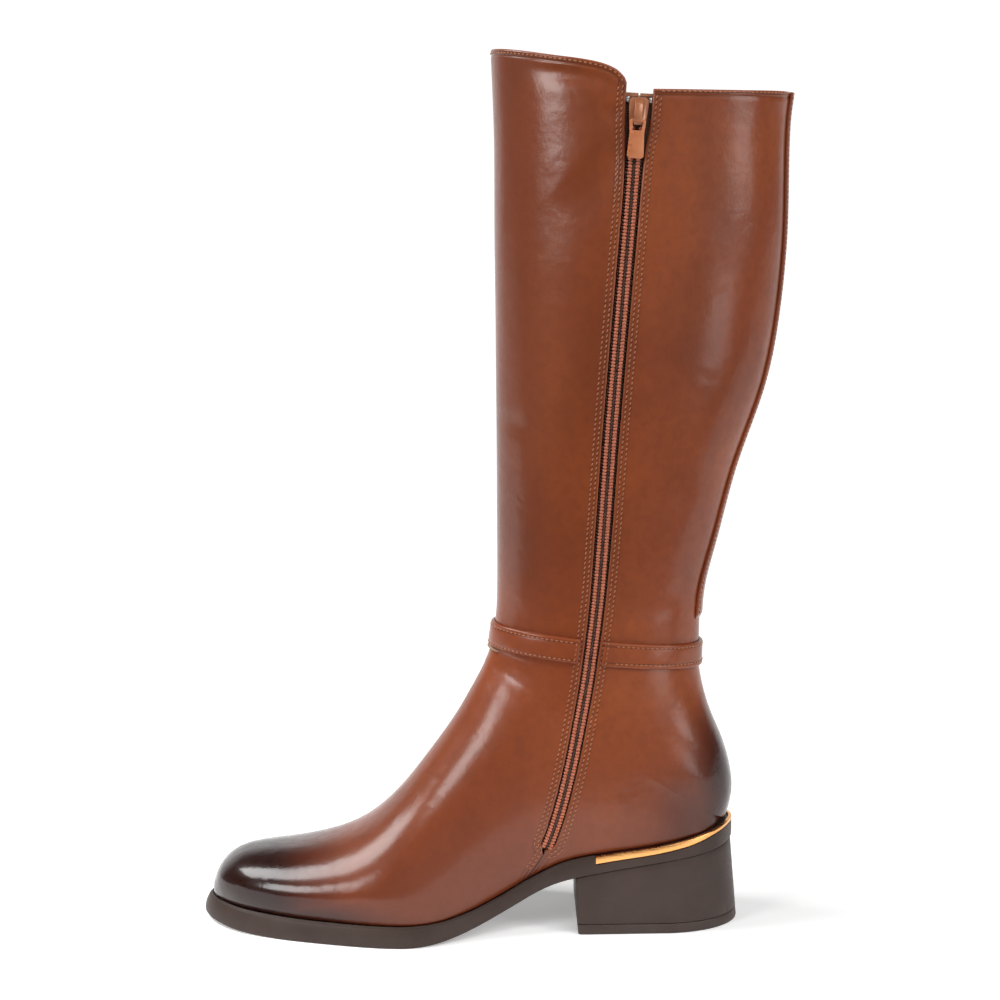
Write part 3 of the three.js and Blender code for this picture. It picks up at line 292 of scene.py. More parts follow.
def cubic(knots, values, level_start):
    """Smooth curve through knots: a natural cubic, or level at its start."""
    knots = np.asarray(knots, float)
    values = np.asarray(values, float)
    n = len(knots)
    step = np.diff(knots)
    slope = np.diff(values) / step
    table = np.zeros((n, n))
    right = np.zeros(n)
    table[0, 0] = 1.0
    table[-1, -1] = 1.0
    if level_start:
        table[0, :2] = (2.0 * step[0], step[0])
        right[0] = 6.0 * slope[0]
    for i in range(1, n - 1):
        table[i, i - 1:i + 2] = (step[i - 1], 2.0 * (step[i - 1] + step[i]), step[i])
        right[i] = 6.0 * (slope[i] - slope[i - 1])
    bend = np.linalg.solve(table, right)

    def curve(k):
        i = np.clip(np.searchsorted(knots, k, side="right") - 1, 0, n - 2)
        a = (knots[i + 1] - k) / step[i]
        b = 1.0 - a
        lift = ((a ** 3 - a) * bend[i] + (b ** 3 - b) * bend[i + 1]) * step[i] ** 2 / 6.0
        return a * values[i] + b * values[i + 1] + lift
    return curve


def steady(keys, values):
    """Smooth curve that never swings past its knots."""
    order = np.argsort(keys)
    k = np.asarray(keys, float)[order]
    v = np.asarray(values, float)[order]
    chord = np.diff(v) / np.diff(k)
    slope = np.zeros(len(k))
    slope[0], slope[-1] = chord[0], chord[-1]
    product = chord[:-1] * chord[1:]
    total = chord[:-1] + chord[1:]
    inner = np.zeros(len(product))
    same = product > 0
    inner[same] = 2.0 * product[same] / total[same]
    slope[1:-1] = inner

    def curve(at):
        x = np.clip(at, k[0], k[-1])
        i = np.clip(np.searchsorted(k, x, side="left") - 1, 0, len(k) - 2)
        h = k[i + 1] - k[i]
        f = (x - k[i]) / h
        start = (1 + 2 * f) * (1 - f) ** 2 * v[i] + f * (1 - f) ** 2 * h * slope[i]
        end = f * f * (3 - 2 * f) * v[i + 1] + f * f * (f - 1) * h * slope[i + 1]
        return start + end
    return curve


def bisect(low, high, is_below, steps=40):
    """Where is_below turns from true to false between low and high."""
    for _ in range(steps):
        middle = (low + high) / 2.0
        below = is_below(middle)
        low = np.where(below, middle, low)
        high = np.where(below, high, middle)
    return (low + high) / 2.0


# ------------------------------------------------------------------ the upper's shape
SECTIONS = [dict(zip(SECTION_COLUMNS, row)) for row in SECTION_ROWS]
NAMES = [row["name"] for row in SECTIONS]
HEEL_INDEX = NAMES.index("heel_point")


def make_stations():
    stations = [0.0]
    for a, b in zip(SECTIONS, SECTIONS[1:]):
        low = math.hypot(b["bx"] - a["bx"], b["bz"] - a["bz"], b["footIn"] - a["footIn"])
        high = math.hypot(b["tx"] - a["tx"], b["tz"] - a["tz"])
        stations.append(stations[-1] + (low + high) / 2.0)
    return np.array(stations)


STATIONS = make_stations()
HEEL_STATION = STATIONS[HEEL_INDEX]
TOP_STATION = STATIONS[-1]


def station_of(name):
    return STATIONS[NAMES.index(name)]


COLLAR_START = station_of("calf_high")


def column_curve(column):
    values = np.array([row[column] for row in SECTIONS])
    level = column in LEVEL_AT_TOE
    if column not in FOOT_COLUMNS:
        return cubic(STATIONS, values, level)
    mirrored = values[HEEL_INDEX - 1] * (-1.0 if column.startswith("foot") else 1.0)
    beyond = 2.0 * HEEL_STATION - STATIONS[HEEL_INDEX - 1]
    foot = cubic(np.append(STATIONS[:HEEL_INDEX + 1], beyond),
                 np.append(values[:HEEL_INDEX + 1], mirrored), level)
    leg = cubic(STATIONS[HEEL_INDEX:], values[HEEL_INDEX:], True)
    if column.startswith("foot"):
        return lambda s: np.where(s <= HEEL_STATION, foot(s), 0.0)
    return lambda s: np.where(s <= HEEL_STATION, foot(s), leg(s))


CURVES = {column: column_curve(column) for column in SECTION_COLUMNS[1:]}
collar_inner = steady(*zip(*COLLAR_INNER_ROWS))
collar_outer = steady(*zip(*COLLAR_OUTER_ROWS))


def half_width(foot, wide, row, t):
    full = np.maximum(np.maximum(wide, foot), 1e-6)
    above = np.clip((t - row["widest"]) / (1.0 - row["widest"]), 0.0, 1.0)
    upper = np.maximum(0.0, 1.0 - above ** row["crown"]) ** (1.0 / row["crown"])
    below = np.clip((row["widest"] - t) / row["widest"], 0.0, 1.0)
    cut = 1.0 - np.maximum(0.0, foot / full) ** row["flank"]
    lower = np.maximum(0.0, 1.0 - cut * below ** row["flank"]) ** (1.0 / row["flank"])
    return np.where(full < 1e-5, 0.0, full * np.where(t >= row["widest"], upper, lower))


def skin(s, t, side):
    """Points of the upper's outer face at stations s and fractions t. side is 1 inner, -1 outer."""
    s, t, side = np.broadcast_arrays(np.asarray(s, float), np.asarray(t, float), side)
    row = {column: curve(s) for column, curve in CURVES.items()}
    x = mix(row["bx"], row["tx"], t)
    z = mix(row["bz"], row["tz"], t)
    foot_middle = (row["footIn"] - row["footOut"]) / 2.0
    middle = mix(foot_middle, row["ridge"], t)
    wide_middle = mix(foot_middle, row["ridge"], row["widest"])
    half_in = half_width(row["footIn"] - foot_middle, row["wideIn"] - wide_middle, row, t)
    half_out = half_width(row["footOut"] + foot_middle, row["wideOut"] + wide_middle, row, t)
    y = middle + np.where(side > 0, half_in, -half_out)
    share = np.clip((s - COLLAR_START) / (TOP_STATION - COLLAR_START), 0.0, 1.0)
    edge = np.where(side > 0, collar_inner(x), collar_outer(x))
    straight = mix(SECTIONS[-1]["bz"], SECTIONS[-1]["tz"], t)
    return np.stack([x, y, z + (edge - straight) * share ** 2], -1)


def leather(s, a):
    """Outer face at places a round a section: 0 the inner low edge, 0.5 the front, 1 the outer."""
    s, a = np.broadcast_arrays(np.asarray(s, float), np.asarray(a, float))
    round_leg = np.where(s > HEEL_STATION, np.mod(a, 1.0), np.clip(a, 0.0, 1.0))
    round_leg = np.where((a == 1.0) | (round_leg < 0.0), 1.0, round_leg)
    t = (1.0 - np.cos(2.0 * np.pi * round_leg)) / 2.0
    return skin(s, t, np.where(round_leg <= 0.5, 1, -1))


def unit(v):
    return v / np.maximum(np.linalg.norm(v, axis=-1, keepdims=True), 1e-12)


def leather_normal(s, a):
    s, a = np.broadcast_arrays(np.asarray(s, float), np.asarray(a, float))
    s = np.maximum(s, 0.8)
    ds, da = 0.6, 0.002
    up = np.minimum(s + ds, TOP_STATION)
    down = np.maximum(s - ds, 0.2)
    foot = s <= HEEL_STATION
    ahead = np.where(foot, np.minimum(a + da, 1.0), a + da)
    behind = np.where(foot, np.maximum(a - da, 0.0), a - da)
    along = leather(up, a) - leather(down, a)
    across = leather(s, ahead) - leather(s, behind)
    normal = np.cross(along, across)
    back_line = ~foot & (np.abs(np.mod(a + 0.5, 1.0) - 0.5) < 1e-9)
    normal[..., 1] = np.where(back_line, 0.0, normal[..., 1])
    return unit(normal)


def place_of(t, side):
    """Place a round a section, from fraction t on one side."""
    a = np.arccos(np.clip(1.0 - 2.0 * np.asarray(t, float), -1.0, 1.0)) / (2.0 * np.pi)
    return np.where(np.asarray(side) > 0, a, 1.0 - a)


def find(x, z):
    """Station and place of the inner face's point at (x, z)."""
    x, z = np.broadcast_arrays(np.asarray(x, float), np.asarray(z, float))
    low = np.full(x.shape, station_of("waist"))
    high = np.full(x.shape, TOP_STATION + 12.0)

    def fraction(s):
        return (x - CURVES["bx"](s)) / (CURVES["tx"](s) - CURVES["bx"](s))
    s = bisect(low, high, lambda k: skin(k, fraction(k), 1)[..., 2] < z, 36)
    return s, place_of(np.clip(fraction(s), 0.0, 1.0), 1)


def on_inner(x, z):
    """Point and outward normal of the inner face at (x, z)."""
    d = 0.5
    s, a = find(x, z)
    y = leather(s, a)[..., 1]

    def height(px, pz):
        return leather(*find(px, pz))[..., 1]
    slope_x = (height(x + d, z) - height(x - d, z)) / (2.0 * d)
    slope_z = (height(x, z + d) - height(x, z - d)) / (2.0 * d)
    point = np.stack([x, y, z], -1)
    return point, unit(np.stack([-slope_x, np.ones_like(y), -slope_z], -1))


# ------------------------------------------------------------------ zip line
_zip = np.array(ZIP_ROWS)
zip_x = steady(np.append(_zip[1:, 0], [SEAM_FOOT[0], 18.0]), np.append(_zip[1:, 1], [SEAM_FOOT[1], 71.0]))
zip_half = steady(_zip[:, 0], _zip[:, 2])


def zip_slope(z):
    return zip_x(z + 0.5) - zip_x(z - 0.5)


def open_half(z):
    """Half width of the gap between the leather's edges: round at its lower end, shut below it."""
    z = np.asarray(z, float)
    down = np.clip((ZIP_BOTTOM + ZIP_END_RADIUS - z) / ZIP_END_RADIUS, 0.0, 1.0)
    return np.where(z <= ZIP_BOTTOM, 0.0, zip_half(z) * np.sqrt(1.0 - down ** 2))


def zip_offset(z, across):
    """(x, z) of points beside the zip line; across is positive towards the front."""
    slope = zip_slope(z)
    length = np.sqrt(1.0 + slope ** 2)
    return zip_x(z) + across / length, z - across * slope / length


def zip_frame(z):
    """Point, front, down and outward directions on the zip line at heights z."""
    z = np.asarray(z, float)
    point, normal = on_inner(zip_x(z), z)
    lower = on_inner(zip_x(z - 1.0), z - 1.0)[0]
    upper = on_inner(zip_x(z + 1.0), z + 1.0)[0]
    down = unit(lower - upper)
    out = unit(normal - down * np.sum(normal * down, -1, keepdims=True))
    return point, np.cross(down, out), down, out


def edge_fraction(s, direction):
    """Fraction t at which sections s meet the leather's edge at the zip; 0 where they miss it."""
    low = np.zeros_like(s)
    high = np.full_like(s, 0.95)

    def ahead(t):
        p = skin(s, t, 1)
        z = p[..., 2]
        edge = zip_x(z) + direction * open_half(z) * np.sqrt(1.0 + zip_slope(z) ** 2)
        return p[..., 0] - edge
    return np.where(ahead(low) >= 0.0, 0.0, bisect(low, high, lambda t: ahead(t) <= 0.0))


def seam_station():
    """Station whose low point is where the seam below the zip meets the sole."""
    return bisect(station_of("arch"), station_of("heel_front"),
                  lambda s: CURVES["bx"](s) > zip_x(CURVES["bz"](s)))


SEAM_STATION = seam_station()


# ------------------------------------------------------------------ making meshes
def make_piece(name, points, faces, material, body=BODY, slot=None, replaces=(), values=None,
               merge=True, sharp=None):
    """Mesh piece from points in millimetres, riding on a body. values are per-point numbers."""
    mesh = bpy.data.meshes.new(name)
    mesh.from_pydata((np.asarray(points).reshape(-1, 3) * MM).tolist(), [], faces)
    for key, numbers in (values or {}).items():
        layer = mesh.attributes.new(key, "FLOAT", "POINT")
        layer.data.foreach_set("value", np.asarray(numbers, dtype=np.float32).ravel())
    work = bmesh.new()
    work.from_mesh(mesh)
    if merge:
        bmesh.ops.remove_doubles(work, verts=work.verts, dist=2e-6)
        bmesh.ops.dissolve_degenerate(work, edges=work.edges, dist=1e-6)
    bmesh.ops.recalc_face_normals(work, faces=work.faces)
    for face in work.faces:
        face.smooth = True
    work.to_mesh(mesh)
    work.free()
    if sharp is not None:
        mesh.set_sharp_from_angle(angle=math.radians(sharp))
    mesh.materials.append(material)
    piece = bpy.data.objects.new(name, mesh)
    bpy.context.collection.objects.link(piece)
    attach(piece, body)
    if replaces:
        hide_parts(*replaces)


def grid_faces(rows, columns, close_columns=False):
    i = np.arange(rows - 1)
    j = np.arange(columns if close_columns else columns - 1)
    i, j = np.meshgrid(i, j, indexing="ij")
    i2 = i + 1
    j2 = (j + 1) % columns
    quads = np.stack([i * columns + j, i * columns + j2, i2 * columns + j2, i2 * columns + j], -1)
    return quads.reshape(-1, 4).tolist()


def loft_faces(loops, count):
    """Faces of closed loops in a row, with each end closed."""
    faces = grid_faces(loops, count, close_columns=True)
    faces.append(list(range(count)))
    faces.append(list(range((loops - 1) * count, loops * count)))
    return faces


def ribbed_faces(loops, count):
    """Faces of closed loops whose halves mirror each other, each end closed by strips."""
    faces = grid_faces(loops, count, close_columns=True)
    for start in (0, (loops - 1) * count):
        for j in range(count // 2 - 1):
            faces.append([start + j, start + j + 1, start + count - 2 - j, start + count - 1 - j])
    return faces


def many_tubes(centres, outs, radii, sides=6, flat=1.0):
    """Points and faces of many short closed tubes. centres and outs are (tubes, steps, 3)."""
    tubes, steps = centres.shape[:2]
    along = np.gradient(centres, axis=1)
    along = unit(along)
    out = unit(outs - along * np.sum(outs * along, -1, keepdims=True))
    across = np.cross(along, out)
    angle = 2.0 * np.pi * np.arange(sides) / sides
    radii = np.broadcast_to(np.asarray(radii, float), (tubes, steps))
    ring = (across[:, :, None, :] * np.cos(angle)[None, None, :, None]
            + flat * out[:, :, None, :] * np.sin(angle)[None, None, :, None])
    points = centres[:, :, None, :] + ring * radii[:, :, None, None]
    faces = []
    one = grid_faces(steps, sides, close_columns=True)
    one.append(list(range(sides)))
    one.append(list(range((steps - 1) * sides, steps * sides)))
    for k in range(tubes):
        shift = k * steps * sides
        faces.extend([[v + shift for v in face] for face in one])
    return points.reshape(-1, 3), faces


def resample(path, normals, pitch, phase=0.0):
    """Distance along a path, and functions that give its point and normal at a distance."""
    run = np.append(0.0, np.cumsum(np.linalg.norm(np.diff(path, axis=0), axis=1)))

    def at(distance):
        return np.stack([np.interp(distance, run, path[:, k]) for k in range(3)], -1)

    def out(distance):
        return unit(np.stack([np.interp(distance, run, normals[:, k]) for k in range(3)], -1))
    count = int((run[-1] - phase) / pitch)
    return phase + pitch * np.arange(count), at, out


STITCH_PITCH = 2.4
STITCH_LENGTH = 1.6
STITCH_RADIUS = 0.31
STITCH_RISE = 0.10
STITCH_STEPS = np.linspace(0.0, 1.0, 5)
STITCH_PROFILE = np.array([0.55, 0.95, 1.0, 0.95, 0.55])


def stitch_tubes(path, normals, slant=0.0, phase=0.0):
    """A row of stitches along a path; each dips into the leather at its ends."""
    starts, at, out = resample(path, normals, STITCH_PITCH, phase)
    distance = starts[:, None] + STITCH_LENGTH * STITCH_STEPS[None, :]
    centre = at(distance)
    outs = out(distance)
    dip = STITCH_RISE + 0.75 * STITCH_RADIUS
    arch = STITCH_RISE - dip * (2.0 * STITCH_STEPS - 1.0) ** 4
    along = unit(at(distance + 0.2) - at(distance - 0.2))
    sideways = np.cross(along, outs)
    sway = slant * (STITCH_STEPS - 0.5)
    centre = centre + outs * arch[None, :, None] + sideways * sway[None, :, None]
    return many_tubes(centre, outs, STITCH_RADIUS * STITCH_PROFILE[None, :])


def join_parts(parts):
    points, faces, shift = [], [], 0
    for some_points, some_faces in parts:
        points.append(some_points)
        faces.extend([[v + shift for v in face] for face in some_faces])
        shift += len(some_points)
    return np.concatenate(points), faces


def make_joined(name, parts, material, slot, **more):
    """One mesh piece from several parts."""
    points, faces = join_parts(parts)
    make_piece(name, points, faces, material, slot=slot, **more)


def tree_of(points):
    points = np.asarray(points).reshape(-1, 3)
    tree = kdtree.KDTree(len(points))
    for i, p in enumerate(points):
        tree.insert(p, i)
    tree.balance()
    return tree


def distance_to(tree, points):
    flat = points.reshape(-1, 3)
    return np.array([tree.find(p)[2] for p in flat]).reshape(points.shape[:-1])


# ------------------------------------------------------------------ materials
class Paint:
    """A node material under construction."""

    def __init__(self, name):
        self.material = bpy.data.materials.new(name)
        self.material.use_nodes = True
        self.nodes = self.material.node_tree.nodes
        self.links = self.material.node_tree.links
        self.surface = self.nodes["Principled BSDF"]
        self.place = self.nodes.new("ShaderNodeTexCoord").outputs["Object"]

    def set(self, **values):
        for key, value in values.items():
            self.surface.inputs[key.replace("_", " ")].default_value = value
        return self

    def link(self, source, key):
        self.links.new(source, self.surface.inputs[key])
        return self

    def feed(self, socket, value):
        if isinstance(value, (int, float, tuple)):
            socket.default_value = value
        else:
            self.links.new(value, socket)

    def stretched(self, x, y, z):
        node = self.nodes.new("ShaderNodeMapping")
        node.inputs["Scale"].default_value = (x, y, z)
        self.links.new(self.place, node.inputs["Vector"])
        return node.outputs["Vector"]

    def noise(self, scale, detail=3.0, rough=0.55, place=None, distortion=0.0):
        node = self.nodes.new("ShaderNodeTexNoise")
        node.inputs["Scale"].default_value = scale
        node.inputs["Detail"].default_value = detail
        node.inputs["Roughness"].default_value = rough
        node.inputs["Distortion"].default_value = distortion
        self.links.new(place or self.place, node.inputs["Vector"])
        return node.outputs["Fac"]

    def cells(self, scale):
        node = self.nodes.new("ShaderNodeTexVoronoi")
        node.inputs["Scale"].default_value = scale
        self.links.new(self.place, node.inputs["Vector"])
        return node.outputs["Distance"]

    def value(self, name):
        node = self.nodes.new("ShaderNodeAttribute")
        node.attribute_name = name
        return node.outputs["Fac"]

    def math(self, operation, a, b=0.0, c=0.0):
        node = self.nodes.new("ShaderNodeMath")
        node.operation = operation
        for socket, value in zip(node.inputs, (a, b, c)):
            self.feed(socket, value)
        return node.outputs[0]

    def span(self, value, low, high, to_low=0.0, to_high=1.0):
        node = smooth_range(self.nodes, low, high, to_low, to_high)
        self.feed(node.inputs["Value"], value)
        return node.outputs["Result"]

    def blend(self, factor, a, b):
        node = self.nodes.new("ShaderNodeMix")
        node.data_type = "RGBA"
        self.feed(node.inputs["Factor"], factor)
        self.feed(node.inputs[6], a)
        self.feed(node.inputs[7], b)
        return node.outputs[2]

    def bump(self, height, distance, strength=1.0, under=None):
        node = self.nodes.new("ShaderNodeBump")
        node.inputs["Strength"].default_value = strength
        node.inputs["Distance"].default_value = distance
        self.links.new(height, node.inputs["Height"])
        if under is not None:
            self.links.new(under, node.inputs["Normal"])
        return node.outputs["Normal"]


def rgb(r, g, b):
    return (r, g, b, 1.0)


COGNAC = rgb(0.222, 0.046, 0.0125)
COGNAC_ORANGE = rgb(0.280, 0.062, 0.015)
COGNAC_DEEP = rgb(0.110, 0.023, 0.007)
HALF_BURNISHED = rgb(0.095, 0.019, 0.007)
BURNISHED = rgb(0.018, 0.0048, 0.0032)
# painted shade in the groove where the upper tucks in behind the sole's rim
RIM_GROOVE_SHADE = rgb(0.150, 0.030, 0.008)
# painted highlight on the turned edges at the zip and the top
EDGE_HIGHLIGHT = rgb(0.34, 0.115, 0.055)
# dark colour of the seam below the zip, and painted shade in the stitch grooves and the fold's trough
SEAM_AND_GROOVE_SHADE = rgb(0.050, 0.014, 0.006)
TAPE_END = rgb(0.30, 0.115, 0.055)     # the tapes' folded top ends


# Painted shade in the grooves under the stitches: which edge they follow, and how far in.
STITCH_GROOVE_SHADES = [("zip_edge", row) for row in ZIP_STITCH_ROWS]
STITCH_GROOVE_SHADES += [("collar_edge", COLLAR_ROW), ("stay_edge", STAY_ROW)]


def leather_paint():
    paint = Paint("polished_leather")
    cloud = paint.span(paint.noise(9.0, 3.0, 0.5, distortion=0.6), 0.36, 0.64)
    streak = paint.span(paint.noise(26.0, 4.0, 0.6, paint.stretched(1.0, 1.0, 0.45)), 0.40, 0.68)
    speck = paint.noise(240.0, 3.0, 0.6)
    colour = paint.blend(cloud, COGNAC, COGNAC_ORANGE)
    colour = paint.blend(paint.math("MULTIPLY", streak, 0.38), colour, COGNAC_DEEP)
    colour = paint.blend(paint.span(speck, 0.35, 0.75, 0.0, 0.22), colour, COGNAC_DEEP)
    # Painted shade: deeper colour at the front of the shaft and low on the foot.
    colour = paint.blend(paint.value("painted_shade"), colour, COGNAC_DEEP)
    # Painted shade: a darker band along the leather's foot, in the groove behind the sole's rim.
    foot = paint.span(paint.value("foot_edge"), 0.3, 3.2, 1.0, 0.0)
    colour = paint.blend(paint.math("MULTIPLY", foot, 0.75), colour, RIM_GROOVE_SHADE)
    uneven = paint.span(paint.noise(40.0, 4.0), 0.3, 0.7, -0.045, 0.045)
    ragged = paint.math("ADD", paint.value("burnish"), uneven)
    colour = paint.blend(paint.span(ragged, 0.05, 0.60), colour, HALF_BURNISHED)
    colour = paint.blend(paint.span(ragged, 0.45, 1.0), colour, BURNISHED)
    below_fold = paint.span(paint.value("collar_edge"), 2.2, 3.0)
    # Painted shade in the groove under each stitch row.
    for key, row in STITCH_GROOVE_SHADES:
        off = paint.math("ABSOLUTE", paint.math("SUBTRACT", paint.value(key), row))
        line = paint.span(off, 0.12, 0.45, 0.62, 0.0)
        if key == "zip_edge":
            line = paint.math("MULTIPLY", line, below_fold)
        colour = paint.blend(line, colour, SEAM_AND_GROOVE_SHADE)
    # Painted shade in the trough under the top edge's fold.
    off = paint.math("ABSOLUTE", paint.math("SUBTRACT", paint.value("collar_edge"), FOLD_DEPTH))
    colour = paint.blend(paint.span(off, 0.1, 0.9, 0.30, 0.0), colour, SEAM_AND_GROOVE_SHADE)
    # Painted highlight: a lighter band on the turned edges at the zip and the top.
    edge = paint.math("MINIMUM", paint.value("zip_edge"), paint.value("collar_edge"))
    colour = paint.blend(paint.span(edge, 0.05, 0.75, 0.45, 0.0), colour, EDGE_HIGHLIGHT)
    # The seam's own dark line below the zip.
    colour = paint.blend(paint.span(paint.value("seam_edge"), 0.25, 0.8, 0.95, 0.0), colour, SEAM_AND_GROOVE_SHADE)
    paint.link(colour, "Base Color")
    rough = paint.span(speck, 0.2, 0.8, 0.46, 0.58)
    polished = paint.span(paint.value("burnish"), 0.05, 0.8, 0.0, 0.20)
    paint.link(paint.math("SUBTRACT", rough, polished), "Roughness")
    grain = paint.cells(1150.0)
    fine = paint.noise(620.0, 4.0, 0.62)
    oblique = paint.nodes.new("ShaderNodeMapping")
    oblique.inputs["Rotation"].default_value = (0.3, 0.7, 0.2)
    oblique.inputs["Scale"].default_value = (1.0, 1.0, 0.38)
    paint.links.new(paint.place, oblique.inputs["Vector"])
    wrinkle = paint.noise(420.0, 4.0, 0.62, oblique.outputs["Vector"], 1.2)
    swell = paint.noise(75.0, 2.0, 0.5, distortion=0.5)
    soft = paint.bump(wrinkle, 0.00010, 0.5, paint.bump(swell, 0.0006, 0.45))
    paint.link(paint.bump(paint.math("MULTIPLY_ADD", fine, 0.7, grain), 0.00006, 0.5, soft), "Normal")
    paint.link(soft, "Coat Normal")
    paint.set(Coat_Weight=0.66, Coat_IOR=1.5)
    paint.link(paint.span(paint.value("burnish"), 0.2, 1.0, 0.21, 0.12), "Coat Roughness")
    paint.set(Specular_IOR_Level=0.15)
    return paint.material


def lining_paint():
    paint = Paint("lining")
    weave = paint.math("MULTIPLY", paint.noise(900.0, 2.0), paint.noise(420.0, 2.0))
    tone = paint.span(paint.noise(30.0, 4.0), 0.3, 0.7)
    colour = paint.blend(tone, rgb(0.33, 0.205, 0.12), rgb(0.41, 0.27, 0.165))
    paint.link(colour, "Base Color").set(Roughness=0.82)
    paint.link(paint.bump(weave, 0.00015, 0.5), "Normal")
    return paint.material


def sole_paint(name, dark, light):
    paint = Paint(name)
    cloud = paint.span(paint.noise(22.0, 4.0, 0.6), 0.3, 0.7)
    speck = paint.noise(900.0, 3.0, 0.7)
    colour = paint.blend(cloud, dark, light)
    scuff = paint.noise(60.0, 5.0, 0.72, paint.stretched(0.5, 0.5, 3.0))
    colour = paint.blend(paint.span(scuff, 0.62, 0.80, 0.0, 0.35), colour, rgb(0.12, 0.095, 0.085))
    paint.link(colour, "Base Color")
    paint.link(paint.span(speck, 0.25, 0.75, 0.36, 0.52), "Roughness")
    paint.set(Specular_IOR_Level=0.2)
    paint.link(paint.bump(paint.math("MULTIPLY_ADD", scuff, 2.0, speck), 0.00006, 0.45), "Normal")
    return paint.material


def toned_paint(name, noise, dark, light, roughness=None, grain=None, stretch=None, **values):
    """Material whose colour, roughness and fine bumps all follow one noise."""
    paint = Paint(name)
    tone = paint.noise(*noise, place=paint.stretched(*stretch) if stretch else None)
    paint.link(paint.blend(paint.span(tone, 0.3, 0.7), dark, light), "Base Color").set(**values)
    if roughness:
        paint.link(paint.span(tone, 0.3, 0.7, *roughness), "Roughness")
    if grain:
        paint.link(paint.bump(tone, *grain), "Normal")
    return paint.material


def thread_paint(name, dark, light, sheen):
    return toned_paint(name, (1500.0, 3.0, 0.6), dark, light, grain=(0.0001, 0.6),
                       Roughness=0.62, Sheen_Weight=sheen, Sheen_Roughness=0.4)


def tape_paint():
    paint = Paint("zip_tape")
    ribs = paint.nodes.new("ShaderNodeTexWave")
    ribs.bands_direction = "Z"
    ribs.inputs["Scale"].default_value = 420.0
    ribs.inputs["Distortion"].default_value = 1.5
    ribs.inputs["Detail"].default_value = 2.0
    paint.links.new(paint.place, ribs.inputs["Vector"])
    rib = paint.span(ribs.outputs["Fac"], 0.35, 0.95)
    colour = paint.blend(rib, rgb(0.050, 0.018, 0.011), rgb(0.170, 0.065, 0.036))
    height = paint.nodes.new("ShaderNodeSeparateXYZ")
    paint.links.new(paint.place, height.inputs[0])
    colour = paint.blend(paint.span(height.outputs["Z"], 0.3993, 0.3998), colour, TAPE_END)
    paint.link(colour, "Base Color").set(Roughness=0.8, Sheen_Weight=0.15)
    paint.link(paint.bump(ribs.outputs["Fac"], 0.0002, 0.7), "Normal")
    return paint.material


def painted_metal(name, dark, light):
    paint = Paint(name)
    tone = paint.noise(160.0, 4.0, 0.6)
    colour = paint.blend(paint.span(tone, 0.3, 0.75), dark, light)
    paint.link(colour, "Base Color")
    paint.set(Metallic=0.25, Coat_Weight=0.5, Coat_Roughness=0.12)
    paint.link(paint.span(tone, 0.3, 0.7, 0.26, 0.38), "Roughness")
    paint.link(paint.bump(paint.noise(900.0, 3.0), 0.00004, 0.4), "Normal")
    return paint.material


def steel_paint():
    paint = Paint("bare_steel")
    tone = paint.noise(800.0, 3.0)
    paint.link(paint.blend(tone, rgb(0.62, 0.62, 0.64), rgb(0.82, 0.82, 0.84)), "Base Color")
    paint.set(Metallic=1.0)
    paint.link(paint.span(tone, 0.3, 0.7, 0.16, 0.30), "Roughness")
    return paint.material


make_studio()
LEATHER = leather_paint()
LINING = lining_paint()
SOLE = sole_paint("sole_rubber", rgb(0.042, 0.027, 0.022), rgb(0.060, 0.040, 0.033))
HEEL = sole_paint("heel_cover", rgb(0.043, 0.028, 0.023), rgb(0.060, 0.040, 0.034))
LIFT = sole_paint("heel_tip", rgb(0.050, 0.034, 0.029), rgb(0.066, 0.047, 0.040))
GOLD = toned_paint("gold_strip", (300.0, 3.0, 0.6), rgb(0.86, 0.41, 0.13), rgb(0.94, 0.49, 0.18),
                   roughness=(0.22, 0.36), grain=(0.00003, 0.4), stretch=(0.25, 0.25, 9.0), Metallic=1.0)
THREAD = thread_paint("tan_thread", rgb(0.30, 0.095, 0.036), rgb(0.42, 0.160, 0.070), 0.10)
BEAD = thread_paint("rust_thread", rgb(0.36, 0.085, 0.036), rgb(0.60, 0.170, 0.080), 0.3)
# light dots: flecks of the tape's weave, and painted glints on the coil
FLECK_AND_GLINT = thread_paint("fleck_and_glint", rgb(0.16, 0.09, 0.07), rgb(0.30, 0.19, 0.15), 0.2)
TAPE = tape_paint()
COIL = toned_paint("zip_coil", (700.0, 2.0), rgb(0.026, 0.011, 0.008), rgb(0.085, 0.034, 0.021),
                   roughness=(0.45, 0.60), Specular_IOR_Level=0.25)
# One paint in two copies: the slider's is darker for painted shade, the pull's lighter for painted light.
SHADED_SLIDER_PAINT = painted_metal("slider_paint_with_painted_shade", rgb(0.36, 0.120, 0.050), rgb(0.45, 0.17, 0.080))
LIT_PULL_PAINT = painted_metal("pull_paint_with_painted_light", rgb(0.62, 0.20, 0.080), rgb(0.72, 0.27, 0.12))
STEEL = steel_paint()


# ------------------------------------------------------------------ leather panels
ROW_STEP = 1.7
EDGE_STEPS = np.array([0.0, 0.15, 0.35, 0.6, 0.9, 1.25, 1.7, 2.2, 2.7, 3.2, 3.7, 4.3, 5.1, 6.2, 7.6, 9.3])
PLAIN_STEPS = np.array([0.0, 0.25, 0.55, 1.0, 1.7, 2.7, 4.0, 5.6])
COLLAR_STEPS = np.array([0.0, 0.12, 0.3, 0.52, 0.8, 1.1, 1.4, 1.7, 2.0, 2.3, 2.6, 2.9, 3.2, 3.7, 4.5, 5.6])
ROLL = 0.9                    # radius of a turned edge
HEM = (1.4, WALL)             # depths of the two points that turn each edge in
HEM_TUCK = 1.3                # how far they reach down behind the sole's rim
FAR = 60.0                    # distance to an edge beyond which it doesn't matter


